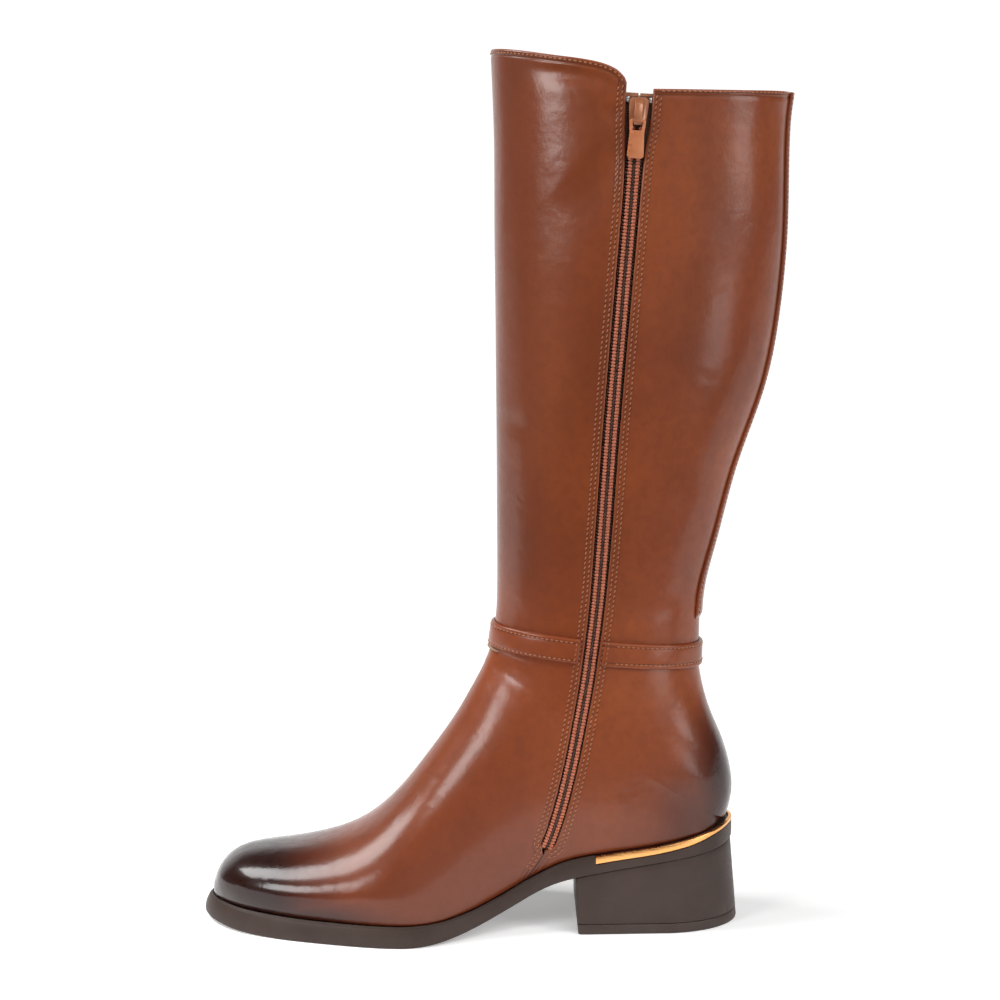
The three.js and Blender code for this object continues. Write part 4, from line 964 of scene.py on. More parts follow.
def panel_stations(first):
    top = TOP_STATION - COLLAR_STEPS
    body = np.arange(first, top[-1] - 0.5 * ROW_STEP, ROW_STEP)
    return np.concatenate([body, top[::-1]])


def spread(length, head, tail, middle):
    """Distances along a row: fine at both ends, even in between."""
    scale = min(1.0, 0.42 * length / max(head[-1], tail[-1], 1e-6))
    between = np.linspace(head[-1] * scale, length - tail[-1] * scale, middle + 2)[1:-1]
    return np.concatenate([head * scale, between, length - tail[::-1] * scale])


def row_places(s, start, end, head, tail, middle):
    """Places a along one section, from start to end, spaced by real distance."""
    dense = mix(start, end, (1.0 - np.cos(np.pi * np.linspace(0.0, 1.0, 500))) / 2.0)
    path = leather(np.full_like(dense, s), dense)
    run = np.append(0.0, np.cumsum(np.linalg.norm(np.diff(path, axis=0), axis=1)))
    return np.interp(spread(run[-1], head, tail, middle), run, dense)


def roll_drop(distance, radius):
    inside = np.clip(radius - distance, 0.0, radius)
    return radius - np.sqrt(np.maximum(radius ** 2 - inside ** 2, 0.0))


def valley(distance, centre, width, depth):
    return depth * np.exp(-((distance - centre) / width) ** 2)


def edge_trees():
    s = np.arange(0.0, TOP_STATION + 0.01, 0.4)
    s = np.append(s[s < TOP_STATION], TOP_STATION)
    leg = s[s >= SEAM_STATION]
    foot = np.append(np.arange(0.0, HEEL_STATION, 0.4), HEEL_STATION)
    front = leather(leg, place_of(edge_fraction(leg, 1.0), 1))
    rear = leather(leg, place_of(edge_fraction(leg, -1.0), 1))
    collar = leather(np.full(1600, TOP_STATION), np.linspace(0.0, 1.0, 1600))
    feet = np.concatenate([leather(foot, np.zeros_like(foot)), leather(foot, np.ones_like(foot))])
    lines = {"front": front, "rear": rear, "collar": collar, "foot": feet}
    return {name: tree_of(line) for name, line in lines.items()}


TREES = edge_trees()


def burnish(points):
    """How dark the leather is made, 1 being nearly black: rubbed dark at the toe and low on the heel's back,
    and darker low on the quarter above the gold strip.
    """
    x, z = points[..., 0], points[..., 2]
    toe = smooth(x + 0.15 * (30.0 - z), 132.0, 200.0)
    toe_low = 0.85 * smooth(x, 96.0, 176.0) * smooth(z, 28.0, 12.0)
    back = 0.92 * smooth(-x - 0.10 * np.abs(z - 70.0), -2.0, 34.0) * smooth(z, 136.0, 90.0)
    # darker low on the quarter above the gold strip
    seat = 0.58 * smooth(-x, -26.0, 18.0) * smooth(z, 100.0, 58.0)
    return np.clip(np.maximum.reduce([toe, toe_low, back, seat]), 0.0, 1.0)


def painted_shade(points):
    """Painted shade: how much deeper the colour is made at the front of the shaft and low on the foot."""
    x, z = points[..., 0], points[..., 2]
    front = 0.36 * smooth(x, 12.0, 50.0) + 0.44 * smooth(x, 50.0, 76.0)
    foot = 0.26 * smooth(z, 132.0, 70.0) + 0.34 * smooth(x, -10.0, 70.0) * smooth(z, 70.0, 20.0)
    return front * smooth(z, 132.0, 200.0) + foot


# Main creases and swells: place (x, z) of both ends, width and height in mm (a trough is negative),
# bow sideways, and the side of the boot: 1 inner, -1 outer, 0 both.
CREASES = (
    (30.0, 400.0, 62.0, 366.0, 3.0, 11.0, 1.9, 1),
    (24.0, 403.0, 60.0, 411.0, 1.0, 4.2, -1.3, 1),
    (25.0, 396.0, 31.0, 388.0, 0.0, 5.0, -1.1, 1),
    (22.0, 386.0, 50.0, 344.0, -3.0, 11.0, -1.1, 1),
    (-40.0, 382.0, -8.0, 372.0, 2.0, 12.0, 0.5, 1),
    (-30.0, 340.0, 6.0, 300.0, 4.0, 14.0, -0.4, 1),
    (80.0, 250.0, 56.0, 246.0, 1.0, 5.0, -0.35, 1),
    (80.0, 236.0, 58.0, 232.0, 1.0, 5.0, 0.35, 1),
    (-20.0, 226.0, 20.0, 212.0, -3.0, 9.0, -0.4, 1),
    (34.0, 182.0, 76.0, 172.0, 3.0, 9.0, -0.4, 1),
    (-14.0, 168.0, 24.0, 160.0, -3.0, 7.0, -0.4, 1),
    (56.0, 112.0, 82.0, 124.0, 2.0, 9.0, -0.15, 0),
    (112.0, 18.0, 146.0, 36.0, 4.0, 9.0, -0.22, 0),
    (-24.0, 104.0, 16.0, 98.0, 3.0, 11.0, -0.25, 0),
    (10.0, 190.0, 70.0, 176.0, 4.0, 11.0, -0.7, -1),
    (-14.0, 172.0, 40.0, 160.0, -3.0, 9.0, -0.6, -1),
    (0.0, 330.0, 50.0, 300.0, 4.0, 16.0, -0.6, -1),
)


def relief(points):
    """Soft creases and swells of the leather, in mm outwards."""
    x, y, z = points[..., 0], points[..., 1], points[..., 2]
    total = np.zeros(x.shape)
    for x1, z1, x2, z2, bow, width, height, side in CREASES:
        dx, dz = x2 - x1, z2 - z1
        length = math.hypot(dx, dz)
        along = ((x - x1) * dx + (z - z1) * dz) / length
        across = ((z - z1) * dx - (x - x1) * dz) / length
        share = np.clip(along / length, 0.0, 1.0)
        across = across - bow * 4.0 * share * (1.0 - share)
        past = np.maximum(0.0, np.maximum(-along, along - length))
        mark = np.exp(-(across / width) ** 2 - (past / (1.4 * width)) ** 2)
        fade = np.sin(np.pi * np.clip(0.12 + 0.76 * share, 0.0, 1.0))
        where = 1.0 if side == 0 else smooth(side * y, 0.0, 10.0)
        total += height * mark * fade * where
    return total


def panel_drop(points, to_zip, to_collar, to_foot):
    """Depth of the leather's face below its smooth shape: turned edges, stitch rows and creases."""
    zip_roll = mix(0.45, ROLL, smooth(points[..., 2], ZIP_BOTTOM - 2.0, ZIP_BOTTOM + 3.0))
    rolls = [roll_drop(to_zip, zip_roll), roll_drop(to_collar, ROLL), roll_drop(to_foot, 1.0)]
    drop = np.maximum.reduce(rolls)
    for row in ZIP_STITCH_ROWS:
        drop = drop + valley(to_zip, row, 0.38, 0.16)
    drop = drop + valley(to_collar, COLLAR_ROW, 0.35, 0.12) + valley(to_collar, FOLD_DEPTH, 0.6, 0.34)
    edge = np.minimum(np.minimum(to_zip, to_collar), to_foot)
    return drop - relief(points) * smooth(edge, 0.0, 6.0)


def hems(rows, columns):
    """Rows and columns to pick so that three edges get two more points, and how deep those lie."""
    row = np.concatenate([np.arange(rows), [rows - 1] * 2])
    column = np.concatenate([[0, 0], np.arange(columns), [columns - 1] * 2])
    row_depth = np.append(np.zeros(rows), HEM)
    column_depth = np.concatenate([HEM[::-1], np.zeros(columns), HEM])
    return np.ix_(row, column), np.maximum(column_depth[None, :], row_depth[:, None])


def leather_panel(name, stations, start, end, head, tail, middle, zip_tree, foot_start, foot_end,
                  replaces=()):
    """One piece of the upper, from a start place to an end place on each section.

    foot_start and foot_end are 1 where that edge lies on the sole."""
    places = np.array([row_places(s, a, b, head, tail, middle) for s, a, b in zip(stations, start, end)])
    s = np.broadcast_to(stations[:, None], places.shape)
    points = leather(s, places)
    normals = leather_normal(s, places)
    to_zip = distance_to(zip_tree, points)
    to_collar = distance_to(TREES["collar"], points)
    to_foot = distance_to(TREES["foot"], points)
    pick, hem = hems(*places.shape)
    depth = np.maximum(panel_drop(points, to_zip, to_collar, to_foot)[pick], hem)
    final = points[pick] - normals[pick] * depth[..., None]
    for column, on_foot in ((slice(0, 2), foot_start), (slice(-2, None), foot_end)):
        final[:, column, 2] -= HEM_TUCK * np.append(on_foot, [0.0, 0.0])[:, None]
    values = {
        "zip_edge": np.minimum(to_zip, FAR)[pick],
        "collar_edge": np.minimum(to_collar, FAR)[pick],
        "foot_edge": np.minimum(to_foot, FAR)[pick],
        "stay_edge": np.full(final.shape[:2], FAR),
        "seam_edge": np.where(points[..., 2] < ZIP_BOTTOM, to_zip, FAR)[pick],
        "burnish": burnish(points)[pick],
        "painted_shade": painted_shade(points)[pick],
    }
    make_piece(name, final, grid_faces(*final.shape[:2]), LEATHER, slot="upper_leather",
               replaces=replaces, values=values)


def make_upper():
    stations = np.append([0.0, 0.5], panel_stations(1.2))
    front = place_of(edge_fraction(stations, 1.0), 1)
    foot_start = 1.0 - smooth(stations, SEAM_STATION - 3.0, SEAM_STATION)
    foot_end = (stations <= HEEL_STATION).astype(float)
    leather_panel("vamp_and_front_shaft", stations, front, np.ones_like(front), EDGE_STEPS, PLAIN_STEPS, 118,
                  TREES["front"], foot_start, foot_end, replaces=("upper",))
    stations = np.append([SEAM_STATION + 0.05, SEAM_STATION + 0.6], panel_stations(SEAM_STATION + 1.6))
    rear = place_of(edge_fraction(stations, -1.0), 1)
    foot_start = (stations <= HEEL_STATION).astype(float)
    leather_panel("rear_inner_quarter", stations, np.zeros_like(rear), rear, PLAIN_STEPS, EDGE_STEPS, 52,
                  TREES["rear"], foot_start, np.zeros_like(rear))


def make_lining():
    """The lining inside the shaft and the foot, a wall's thickness in."""
    parts = []
    for direction, count in ((1.0, 60), (-1.0, 28)):
        first = 6.0 if direction > 0 else SEAM_STATION + 2.0
        stations = np.append(np.arange(first, TOP_STATION - 4.0, 5.0), [TOP_STATION - 1.0, TOP_STATION - 0.1])
        edge = place_of(edge_fraction(stations, direction), 1)
        start, end = (edge, np.ones_like(edge)) if direction > 0 else (np.zeros_like(edge), edge)
        head = np.array([0.0, 3.0])
        places = np.array([row_places(s, a, b, head, head, count) for s, a, b in zip(stations, start, end)])
        s = np.broadcast_to(stations[:, None], places.shape)
        points = leather(s, places) - leather_normal(s, places) * WALL
        parts.append((points.reshape(-1, 3), grid_faces(*places.shape)))
    make_joined("lining", parts, LINING, "lining")


# ------------------------------------------------------------------ stitches on the upper
def zip_stitch_path(direction, row, low, high):
    """(x, z) path beside the leather's edge at the zip, from the top down."""
    z = np.arange(high, low, -1.0)
    half = np.where(z < ZIP_BOTTOM + ZIP_END_RADIUS, open_half(z), zip_half(z))
    return np.stack(zip_offset(z, direction * (half + row)), -1)


def zip_stitch_paths():
    for row in ZIP_STITCH_ROWS:
        yield zip_stitch_path(1.0, row, 29.0, 404.0)
        turn = ZIP_BOTTOM + ZIP_END_RADIUS
        line = zip_stitch_path(-1.0, row, turn, 400.8)
        angle = np.linspace(0.0, 0.5 * np.pi, 10)[1:]
        reach = ZIP_END_RADIUS + row
        slope = zip_slope(turn)
        front = np.array([1.0, -slope]) / math.hypot(1.0, slope)
        down = np.array([-slope, -1.0]) / math.hypot(1.0, slope)
        centre = np.array([zip_x(turn), turn])
        arc = centre - reach * np.cos(angle)[:, None] * front + reach * np.sin(angle)[:, None] * down
        yield np.concatenate([line, arc])


def in_strap(x, z):
    """1 where the ankle strap lies over the leather."""
    s, _ = find(x, z)
    inside = smooth(s, station_of("strap_low") - 0.5, station_of("strap_low") + 0.8)
    return inside * smooth(s, station_of("strap_high") + 0.5, station_of("strap_high") - 0.8)


def make_stitches():
    parts = []
    for number, path in enumerate(zip_stitch_paths()):
        point, normal = on_inner(path[:, 0], path[:, 1])
        over = in_strap(path[:, 0], path[:, 1]) * (STRAP_THICK + 0.25 if number in (2, 3) else 0.0)
        point = point + normal * (over - 0.10)[:, None]
        parts.append(stitch_tubes(point, normal, slant=0.5, phase=0.4 * number))
    parts.append(collar_stitches())
    make_joined("upper_stitches", parts, THREAD, "upper_leather", merge=False)


def collar_stitches():
    """One row under the top edge, from the zip's front edge round the leg to its rear edge."""
    # Down the rounded corner the row keeps its distance from the edge, so it is worked out flat.
    x = np.concatenate([np.linspace(21.2, 26.0, 10), np.linspace(27.0, 62.0, 30)])
    z = collar_inner(x)
    slope = (collar_inner(x + 0.2) - collar_inner(x - 0.2)) / 0.4
    length = np.sqrt(1.0 + slope ** 2)
    flat = np.stack([x + COLLAR_ROW * slope / length, z - COLLAR_ROW / length], -1)
    point, normal = on_inner(flat[:, 0], flat[:, 1])
    s, a = find(flat[-1:, 0], flat[-1:, 1])
    drop = TOP_STATION - s[0]
    rear_edge = place_of(edge_fraction(np.array([TOP_STATION - 2.0]), -1.0), 1)[0]
    places = np.linspace(a[0] + 0.004, 1.0 + rear_edge - 0.006, 700)
    level = TOP_STATION - mix(drop, COLLAR_ROW, smooth(places, a[0], a[0] + 0.25))
    rest = leather(level, places)
    rest_normal = leather_normal(level, places)
    path = np.concatenate([point, rest])
    normals = np.concatenate([normal, rest_normal])
    path = path - normals * 0.12
    return stitch_tubes(path, normals)


# ------------------------------------------------------------------ ankle strap and back stay
STRAP_WIDTH = 12.2
STRAP_RUN = 260.0             # the strap's length round the ankle, roughly
OVERLAY_ROLL = 0.9            # radius of an overlay's turned end
STRAP_BASE = OVERLAY_GAP * 0.5
STAY_BASE = 0.25 + STAY_THICK + OVERLAY_GAP * 0.5


def overlay_row(s, a, height):
    """A row of stitches at stations s and places a, at a height above the leather."""
    normal = leather_normal(s, a)
    return stitch_tubes(leather(s, a) + normal * height, normal)


def overlay_values(to_edge):
    """Per-point numbers for a strip laid on the leather: only its own edge counts."""
    to_edge = to_edge.ravel()
    far = np.full(len(to_edge), FAR)
    return {"zip_edge": far, "collar_edge": far, "foot_edge": far, "stay_edge": to_edge,
            "seam_edge": far, "burnish": far * 0.0}


def edge_profile(u, thick, roll, width):
    """Height of a strip with turned edges at share u of its width."""
    edge = np.minimum(u, 1.0 - u) * width
    return thick - roll_drop(edge, roll) * min(1.0, thick / roll)


STRAP_STEPS = np.array([0.0, 0.02, 0.05, 0.09, 0.125, 0.16, 0.21, 0.3, 0.4, 0.5, 0.6, 0.7, 0.79, 0.84,
                        0.875, 0.91, 0.95, 0.98, 1.0])


def strap_station(share):
    return mix(station_of("strap_low"), station_of("strap_high"), share)


def make_strap():
    stations = strap_station(STRAP_STEPS)
    gap = 1.2 / 180.0 / 1.15       # the strap's end stops this far from the zip's edge
    start = place_of(edge_fraction(stations, 1.0), 1) + gap
    end = 1.0 + place_of(edge_fraction(stations, -1.0), 1) - gap
    end_steps = np.array([0.0, 0.3, 0.8, 1.5, 2.5, 4.0]) / STRAP_RUN
    body = mix(end_steps[-1], 1.0 - end_steps[-1], np.linspace(0.0, 1.0, 190)[1:-1])
    share = np.concatenate([end_steps, body, 1.0 - end_steps[::-1]])
    places = mix(start[None, :], end[None, :], share[:, None])
    s = np.broadcast_to(stations[None, :], places.shape)
    normal = leather_normal(s, places)
    base = leather(s, places)
    run = share * STRAP_RUN
    end_drop = roll_drop(np.minimum(run, STRAP_RUN - run), OVERLAY_ROLL) * 1.2
    inset = np.minimum(STRAP_STEPS, 1.0 - STRAP_STEPS) * STRAP_WIDTH
    crown = edge_profile(STRAP_STEPS, STRAP_THICK, 0.85, STRAP_WIDTH) + 0.25 * np.sin(np.pi * STRAP_STEPS)
    crown = crown - valley(inset, STRAP_ROW, 0.4, 0.16)
    lift = STRAP_BASE + np.maximum(crown[None, :] - end_drop[:, None], 0.25)
    top = base + normal * lift[..., None]
    under = (base + normal * 0.12)[:, ::-1]
    loops = np.concatenate([top, under], axis=1)
    to_edge = np.broadcast_to(np.append(inset, np.zeros(len(inset))), loops.shape[:2])
    make_piece("ankle_strap_leather", loops, loft_faces(*loops.shape[:2]), LEATHER, slot="upper_leather",
               replaces=("ankle_strap",), values=overlay_values(to_edge))
    make_strap_stitches(stations, start, end)


def make_strap_stitches(stations, start, end):
    parts = []
    for edge in (STRAP_ROW, STRAP_WIDTH - STRAP_ROW):
        s = np.full(900, strap_station(edge / STRAP_WIDTH))
        ends = [np.interp(s[0], stations, limit) for limit in (start, end)]
        a = mix(*ends, np.linspace(0.012, 0.988, 900))
        parts.append(overlay_row(s, a, STRAP_BASE + STRAP_THICK - 0.05))
    make_joined("ankle_strap_stitches", parts, THREAD, "upper_leather", merge=False)


def stay_place(s, y):
    """Place a on the inner side where the section is y wide, close to the back line."""
    return bisect(np.zeros_like(s), np.full_like(s, 0.25), lambda a: leather(s, a)[..., 1] <= y)


def make_back_stay():
    first = station_of("strap_high") + 11.0
    top = TOP_STATION - np.array([1.2, 0.7, 0.3, 0.1])
    stations = np.append(np.arange(first, TOP_STATION - 1.6, 1.8), top)
    edge_steps = np.array([0.0, 0.15, 0.35, 0.6, 0.9, 1.3, 1.65, 2.0, 2.35, 2.8, 3.6, 5.0])
    half = np.concatenate([edge_steps, np.linspace(5.0, STAY_HALF_WIDTH, 6)[1:]])
    inner = STAY_HALF_WIDTH - half
    y = np.concatenate([inner, -inner[::-1][1:]])
    to_edge = STAY_HALF_WIDTH - np.abs(y)
    a = stay_place(np.broadcast_to(stations[:, None], (len(stations), len(inner))),
                   np.broadcast_to(inner[None, :], (len(stations), len(inner))))
    a[:, -1] = 0.0
    places = np.concatenate([a, -a[:, ::-1][:, 1:]], axis=1)
    s = np.broadcast_to(stations[:, None], places.shape)
    normal = leather_normal(s, places)
    run = stations - stations[0]
    end = np.minimum(run, (TOP_STATION - stations) + 0.2)
    edge = np.minimum(to_edge[None, :], end[:, None])
    lift = STAY_BASE - roll_drop(edge, OVERLAY_ROLL) * 1.25 - valley(edge, STAY_ROW, 0.4, 0.16)
    top = leather(s, places) + normal * np.maximum(lift, 0.1)[..., None]
    under = leather(s, places) + normal * 0.08
    loops = np.concatenate([top, under[:, ::-1]], axis=1)
    stay_edge = np.concatenate([edge, np.zeros_like(edge)], axis=1)
    make_piece("back_stay_leather", loops, loft_faces(*loops.shape[:2]), LEATHER, slot="upper_leather",
               replaces=("back_stay",), values=overlay_values(stay_edge))
    fine = np.arange(stations[0] + 2.0, TOP_STATION - 1.5, 0.8)
    row = stay_place(fine, np.full_like(fine, STAY_HALF_WIDTH - STAY_ROW))
    parts = [overlay_row(fine, row * side, STAY_BASE - 0.08) for side in (1.0, -1.0)]
    make_joined("back_stay_stitches", parts, THREAD, "upper_leather", merge=False)


# ------------------------------------------------------------------ zip
TOOTH_PITCH = 1.55
BEAD_PLACE = 1.72
BEAD_HALF_LENGTH = 0.92
BEAD_RADIUS = 0.74
BEAD_SLANT = 0.22             # how far each end of a bead lies above or below its middle
COIL_FACE = 0.6               # the coil's outer face below the leather's
TAPE_REACH = 8.6
TAPE_THICK = 0.6
COIL_TOP = SLIDER_Z - 2.0
TAPE_TOP = 402.6


def zip_points(z, across, depth):
    """Points beside the zip line, below the leather's outer face."""
    point, front, _, out = zip_frame(z)
    return point[:, None, :] + front[:, None, :] * across[..., None] - out[:, None, :] * depth[..., None]


def make_tapes():
    z = np.arange(ZIP_BOTTOM - 1.0, TAPE_TOP, 2.0)
    parting = smooth(z, SLIDER_Z - 4.0, SLIDER_Z + 5.0)
    for end, side in (("front", 1.0), ("rear", -1.0)):
        inner = mix(0.15, 0.4, parting)
        widths = np.linspace(0.0, 1.0, 7)
        across = side * mix(inner[:, None], TAPE_REACH, widths[None, :])
        top = zip_points(z, across, np.full(across.shape, TAPE_DEPTH + 0.05))
        low = zip_points(z, across, np.full(across.shape, TAPE_DEPTH + 0.05 + TAPE_THICK))[:, ::-1]
        loops = np.concatenate([top, low], axis=1)
        make_piece(end + "_tape", loops, loft_faces(*loops.shape[:2]), TAPE, slot="zip_tape",
                   replaces=("zip_tape_" + end,))


def coil_heights():
    length = np.arange(0.0, 420.0, TOOTH_PITCH)
    z = np.arange(ZIP_BOTTOM + 1.6, COIL_TOP, 0.5)
    point = zip_frame(z)[0]
    run = np.append(0.0, np.cumsum(np.linalg.norm(np.diff(point, axis=0), axis=1)))
    length = length[length < run[-1]]
    return np.interp(length, run, z)


def coil_outs(rows, steps):
    """Outward directions for tubes of so many steps at heights rows."""
    return np.broadcast_to(zip_frame(rows)[3][:, None, :], (len(rows), steps, 3))


def coil_turns(z):
    """The coil's turns, from both sides in turn."""
    radii = np.array([0.45, 0.5, 0.5, 0.5, 0.52, 0.4])
    depth = COIL_FACE + np.array([1.6, 0.75, 0.45, 0.40, 0.60, 1.25])
    for side, shift in ((1.0, 0.0), (-1.0, 0.5 * TOOTH_PITCH)):
        across = side * np.array([3.6, 3.1, 1.8, 0.6, -0.35, -0.75])
        rows = z + shift
        centre = zip_points(rows, np.broadcast_to(across, (len(z), 6)), np.broadcast_to(depth, (len(z), 6)))
        yield many_tubes(centre, coil_outs(rows, 6), radii, sides=6)


def coil_beads(z):
    """The two rows of chain stitch that hold the coil."""
    steps = np.linspace(-1.0, 1.0, 5)
    heights = (z[:, None] + BEAD_SLANT * steps[None, :]).ravel()
    radii = BEAD_RADIUS * np.sqrt(1.0 - 0.60 * steps ** 2)
    for side in (1.0, -1.0):
        across = np.tile(side * (BEAD_PLACE + BEAD_HALF_LENGTH * steps), len(z))[:, None]
        centre = zip_points(heights, across, np.full_like(across, COIL_FACE - 0.08)).reshape(len(z), 5, 3)
        yield many_tubes(centre, coil_outs(z, 5), radii, sides=8, flat=0.85)


def flecks_and_glints(z):
    """Flecks of the tape's weave at the sides, and painted glints in the coil's middle: shift along the zip
    in quarter teeth, place across, and depth.
    """
    # The two rows 0.2 across, on the coil's face, are painted glints.
    for shift, across, depth in ((1.0, 3.35, 0.55), (-1.0, -3.35, 0.55), (2.0, 0.2, 0.0), (0.0, -0.2, 0.0)):
        rows = z + 0.25 * TOOTH_PITCH * shift
        heights = np.repeat(rows, 3) + np.tile([-0.22, 0.0, 0.22], len(rows))
        column = np.ones((len(heights), 1))
        centre = zip_points(heights, across * column, (COIL_FACE + depth) * column).reshape(len(rows), 3, 3)
        yield many_tubes(centre, coil_outs(rows, 3), np.array([0.10, 0.16, 0.10]), sides=5)


def make_coil():
    z = coil_heights()
    make_joined("zip_coil_turns", coil_turns(z), COIL, "zip_coil", replaces=("zip_coil",), merge=False)
    make_joined("zip_coil_thread", coil_beads(z), BEAD, "zip_coil", merge=False)
    make_joined("zip_flecks_and_glints", flecks_and_glints(z), FLECK_AND_GLINT, "zip_tape", merge=False)


def rounded_copy(name, node, material, body, width):
    """The CAD node's own shape with its edges rounded."""
    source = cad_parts[node]
    mesh = source.data.copy()
    mesh.name = name
    work = bmesh.new()
    work.from_mesh(mesh)
    bmesh.ops.remove_doubles(work, verts=work.verts, dist=1e-6)
    for face in work.faces:
        face.smooth = True
    work.to_mesh(mesh)
    work.free()
    mesh.materials.clear()
    mesh.materials.append(material)
    piece = bpy.data.objects.new(name, mesh)
    bpy.context.collection.objects.link(piece)
    bevel = piece.modifiers.new("edges", "BEVEL")
    bevel.width = width * MM
    bevel.segments = 3
    bevel.limit_method = "ANGLE"
    bevel.angle_limit = math.radians(25.0)
    bevel.harden_normals = True
    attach(piece, body)
    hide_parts(node)


# ------------------------------------------------------------------ sole and heel
underside = steady(*zip(*UNDERSIDE_ROWS))
seat_height = steady(*zip(*[(row["bx"], row["bz"]) for row in SECTIONS[:HEEL_INDEX + 1]]))


def plan_frame(s, side):
    """Point of the upper's foot outline seen from above, and the outward direction there."""
    d = 0.4
    key = "footIn" if side > 0 else "footOut"

    def at(k):
        k = np.clip(k, 0.0, HEEL_STATION)
        return np.stack([CURVES["bx"](k), side * CURVES[key](k)], -1)
    tangent = at(s + d) - at(s - d)
    normal = unit(np.stack([-side * tangent[..., 1], side * tangent[..., 0]], -1))
    normal = np.where((s <= d)[..., None], np.array([1.0, 0.0]), normal)
    normal = np.where((s >= HEEL_STATION - d)[..., None], np.array([-1.0, 0.0]), normal)
    flip = normal[..., 1] * side < 0.0
    return at(s), np.where(flip[..., None], -normal, normal)


def rim_reach(normal):
    return RIM_WIDTH + RIM_AT_TOE * np.maximum(0.0, normal[..., 0])


def tread_reach(normal):
    return TREAD_WIDTH + TREAD_AT_TOE * np.maximum(0.0, normal[..., 0])


def band_station(x):
    """Station whose low point is at x, between the arch and the heel's back."""
    return bisect(station_of("arch"), HEEL_STATION, lambda s: CURVES["bx"](s) > x)


# The sole's edge from the top inwards side round to the tread: reach past the rim line and height
# above the sole's top line, both in mm, then the share of the wall's height below it.
RIM_PROFILE = ((-3.6, -0.1), (-2.3, -0.3), (-2.1, 0.35), (-1.9, 0.78), (-1.6, 1.0), (-1.25, 0.98),
               (-0.95, 0.75), (-0.8, 0.45), (-0.6, 0.34), (-0.25, 0.3), (-0.05, 0.1))
WALL_SHARES = (0.04, 0.12, 0.22, 0.34, 0.46, 0.58, 0.70, 0.82, 0.92)
TREAD_EDGE = ((0.0, 0.45), (0.18, 0.12), (0.6, 0.0))    # inset and height at the wall's foot


def wall_bulge(x, share):
    """How far the sole's wall swells; it is straight where the heel carries it on."""
    return mix(HEEL_BULGE, BULGE, smooth(x, 15.0, 60.0)) * 4.0 * share * (1.0 - share)


def edge_points(s, side, rows):
    """Points of the sole's edge on one side, from rows of (reach outwards, height at x)."""
    middle, normal = plan_frame(s, side)
    points = []
    for reach, height in rows:
        p = middle + normal * reach[..., None]
        points.append(np.stack([p[..., 0], p[..., 1], height(p[..., 0])], -1))
    return np.stack(points, -2)


def edge_reaches(s, side):
    """Reach of the rim and of the tread, and the x they are worked out for."""
    middle, normal = plan_frame(s, side)
    return rim_reach(normal), tread_reach(normal), middle[..., 0]


def sole_top(x):
    return seat_height(x) - SEAT_GAP


def tread_rows(tread):
    return [(tread - inset, lambda x, rise=rise: underside(x) + rise) for inset, rise in TREAD_EDGE]


def plain_wall(s, side):
    """The sole's edge where nothing lies on it."""
    rim, tread, at = edge_reaches(s, side)
    rows = [(rim + reach, lambda x, rise=rise: sole_top(x) + rise) for reach, rise in RIM_PROFILE]
    rows += [(mix(rim, tread, share) + wall_bulge(at, share),
              lambda x, share=share: mix(sole_top(x), underside(x), share)) for share in WALL_SHARES]
    return edge_points(s, side, rows + tread_rows(tread))


def cut_wall(s, side):
    """As many points where the gold strip lies: the wall's top is cut back behind the strip."""
    rim, tread, at = edge_reaches(s, side)
    back = rim - BAND_THICK - 0.1
    steps = len(RIM_PROFILE) - 2

    def ledge(x):
        return sole_top(x) - band_height(x) + BAND_RISE - 0.35
    rows = [(mix(rim - 3.6, back, k / steps), lambda x: sole_top(x) - 0.1) for k in range(steps + 1)]
    rows.append((back, ledge))
    for fall in np.arange(len(WALL_SHARES)) / len(WALL_SHARES):
        share = 0.35 + 0.65 * fall
        rows.append((mix(rim, tread, share) + wall_bulge(at, share),
                     lambda x, fall=fall: mix(ledge(x), underside(x) + 0.45, fall)))
    return edge_points(s, side, rows + tread_rows(tread))


band_height = steady((-37.0, -27.0, -20.0, -13.0, 6.0, BAND_FRONT), (1.8, 2.05, 2.75, 3.25, 3.45, 3.65))


def make_outsole():
    even = HEEL_STATION * (1.0 - np.cos(np.pi * np.linspace(0.0, 1.0, 190))) / 2.0
    step = band_station(BAND_FRONT + 0.3)
    s = np.sort(np.concatenate([even, [step - 0.03, step + 0.03]]))
    cut = (s > step)[:, None, None]
    inner, outer = [np.where(cut, cut_wall(s, side), plain_wall(s, side)) for side in (1.0, -1.0)]
    loops = np.concatenate([inner, outer[:, ::-1]], axis=1)
    make_piece("outsole_with_rim", loops, ribbed_faces(*loops.shape[:2]), SOLE, slot="sole",
               replaces=("outsole",), sharp=48.0)


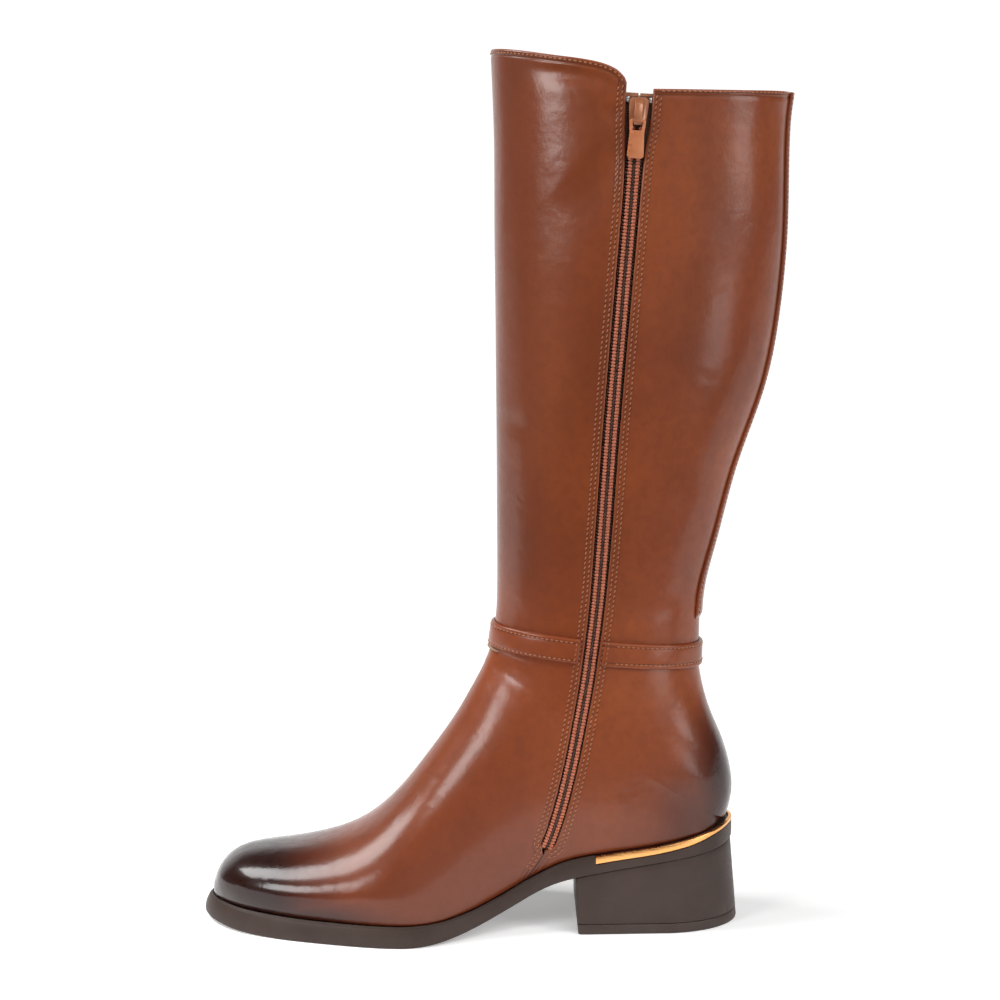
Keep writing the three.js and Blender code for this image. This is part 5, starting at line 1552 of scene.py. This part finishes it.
def make_band():
    start = band_station(BAND_FRONT)
    turn = np.sin(0.5 * np.pi * np.linspace(0.0, 1.0, 90))
    s = mix(start, HEEL_STATION, turn)
    # inset from the outer face, share of the height, and a further drop
    profile = ((0.45, 0.0, 0.0), (0.2, 0.0, 0.06), (0.06, 0.0, 0.2), (0.0, 0.0, 0.45), (0.0, 1.0, -0.45),
               (0.06, 1.0, -0.2), (0.2, 1.0, -0.06), (0.45, 1.0, 0.0), (BAND_THICK, 1.0, 0.0),
               (BAND_THICK, 0.5, 0.0), (BAND_THICK, 0.0, 0.0))

    def loops(side):
        middle, normal = plan_frame(s, side)
        rim = middle + normal * RIM_WIDTH
        z = sole_top(rim[..., 0])
        rows = []
        for inset, share, drop in profile:
            p = middle + normal * (RIM_WIDTH + BAND_PROUD - inset)
            level = z + BAND_RISE - share * band_height(rim[..., 0]) - drop
            rows.append(np.stack([p[..., 0], p[..., 1], level], -1))
        return np.stack(rows, -2)
    points = np.concatenate([loops(1.0), loops(-1.0)[::-1][1:]])
    make_piece("gold_heel_strip", points, loft_faces(*points.shape[:2]), GOLD, slot="gold_trim",
               replaces=("heel_trim_band",), sharp=55.0)


def heel_outline(x, top):
    back = mix(HEEL_BACK["floor"], HEEL_BACK["top"], top)
    half = mix(HEEL_HALF_WIDTH["floor"], HEEL_HALF_WIDTH["top"], top)
    front = mix(HEEL_FRONT_HALF_WIDTH["floor"], HEEL_FRONT_HALF_WIDTH["top"], top)
    flat = mix(half, front, x / HEEL_BREAST)
    return np.where(x >= 0.0, flat, half * np.sqrt(np.maximum(0.0, 1.0 - (x / back) ** 2)))


def heel_solid(name, node, material, slot, levels):
    """Heel piece from levels (taper share, inset, height), lofted from the back to the front face."""
    turn = np.linspace(0.0, 0.5 * np.pi, 44)
    ahead = np.array([0.15, 0.35, 0.55, 0.75, 0.9, 0.97, 0.99, 1.0])
    rows = []
    for top, inset, height in levels:
        back = mix(HEEL_BACK["floor"], HEEL_BACK["top"], top) + inset
        breast = HEEL_BREAST + HEEL_BREAST_LEAN * top - inset
        round_back, sides = back * np.cos(turn), breast * ahead
        x = np.concatenate([round_back, sides])
        y = heel_outline(np.concatenate([round_back * (back - inset) / back, sides]), top)
        y = np.maximum(y - inset * np.sin(np.concatenate([turn, np.full(len(ahead), 0.5 * np.pi)])), 0.0)
        corner = np.concatenate([np.zeros(len(turn)), [0.0, 0.0, 0.0, 0.0, 0.0, 0.08, 0.35, 0.9]])
        y = y - corner
        rows.append((x, y, height(x)))
    inner = np.stack([np.stack([x, y, z], -1) for x, y, z in rows], -2)
    outer = np.stack([np.stack([x, -y, z], -1) for x, y, z in rows], -2)
    loops = np.concatenate([inner, outer[:, ::-1]], axis=1)
    make_piece(name, loops, ribbed_faces(*loops.shape[:2]), material, slot=slot, replaces=(node,), sharp=40.0)


def make_heel():
    seat = HEEL_BREAST + HEEL_BREAST_LEAN

    def under_seat(x):
        return underside(np.minimum(x, seat)) - JOINT_GAP
    block_low = LIFT_HEIGHT + JOINT_GAP
    levels = [(1.0, 0.7, lambda x: under_seat(x) + 0.25), (1.0, 0.25, lambda x: under_seat(x) - 0.05),
              (0.99, 0.0, lambda x: under_seat(x) - 0.5)]
    for share in (0.9, 0.7, 0.5, 0.3):
        rise = (share - HEEL_SPLIT) / (1.0 - HEEL_SPLIT)
        levels.append((share, 0.0, lambda x, rise=rise: mix(block_low, under_seat(x), rise)))
    levels += [(HEEL_SPLIT + 0.01, 0.0, lambda x: np.full_like(x, block_low + 0.3)),
               (HEEL_SPLIT, 0.25, lambda x: np.full_like(x, block_low))]
    heel_solid("heel_block_cover", "heel_block", HEEL, "heel", levels)
    flat = [(HEEL_SPLIT, 0.25, LIFT_HEIGHT), (HEEL_SPLIT, 0.0, LIFT_HEIGHT - 0.3), (0.05, 0.0, 1.6),
            (0.02, 0.0, 0.7), (0.0, 0.2, 0.2), (0.0, 0.7, 0.0)]
    levels = [(share, inset, lambda x, z=z: np.full_like(x, z)) for share, inset, z in flat]
    heel_solid("heel_top_piece", "heel_lift", LIFT, "heel_tip", levels)


# ------------------------------------------------------------------ assembly
make_upper()
make_lining()
make_stitches()
make_strap()
make_back_stay()
make_tapes()
make_coil()
make_outsole()
make_band()
make_heel()
rounded_copy("slider_body", "zip_slider", SHADED_SLIDER_PAINT, BODY, 0.28)
rounded_copy("pull_tab_plate", "zip_pull", LIT_PULL_PAINT, PULL_BODY, 0.18)
for place in ("front", "rear"):
    rounded_copy("stop_" + place, "zip_stop_" + place, STEEL, BODY, 0.35)
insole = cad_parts["insole"].data
insole.materials.clear()
insole.materials.append(LINING)
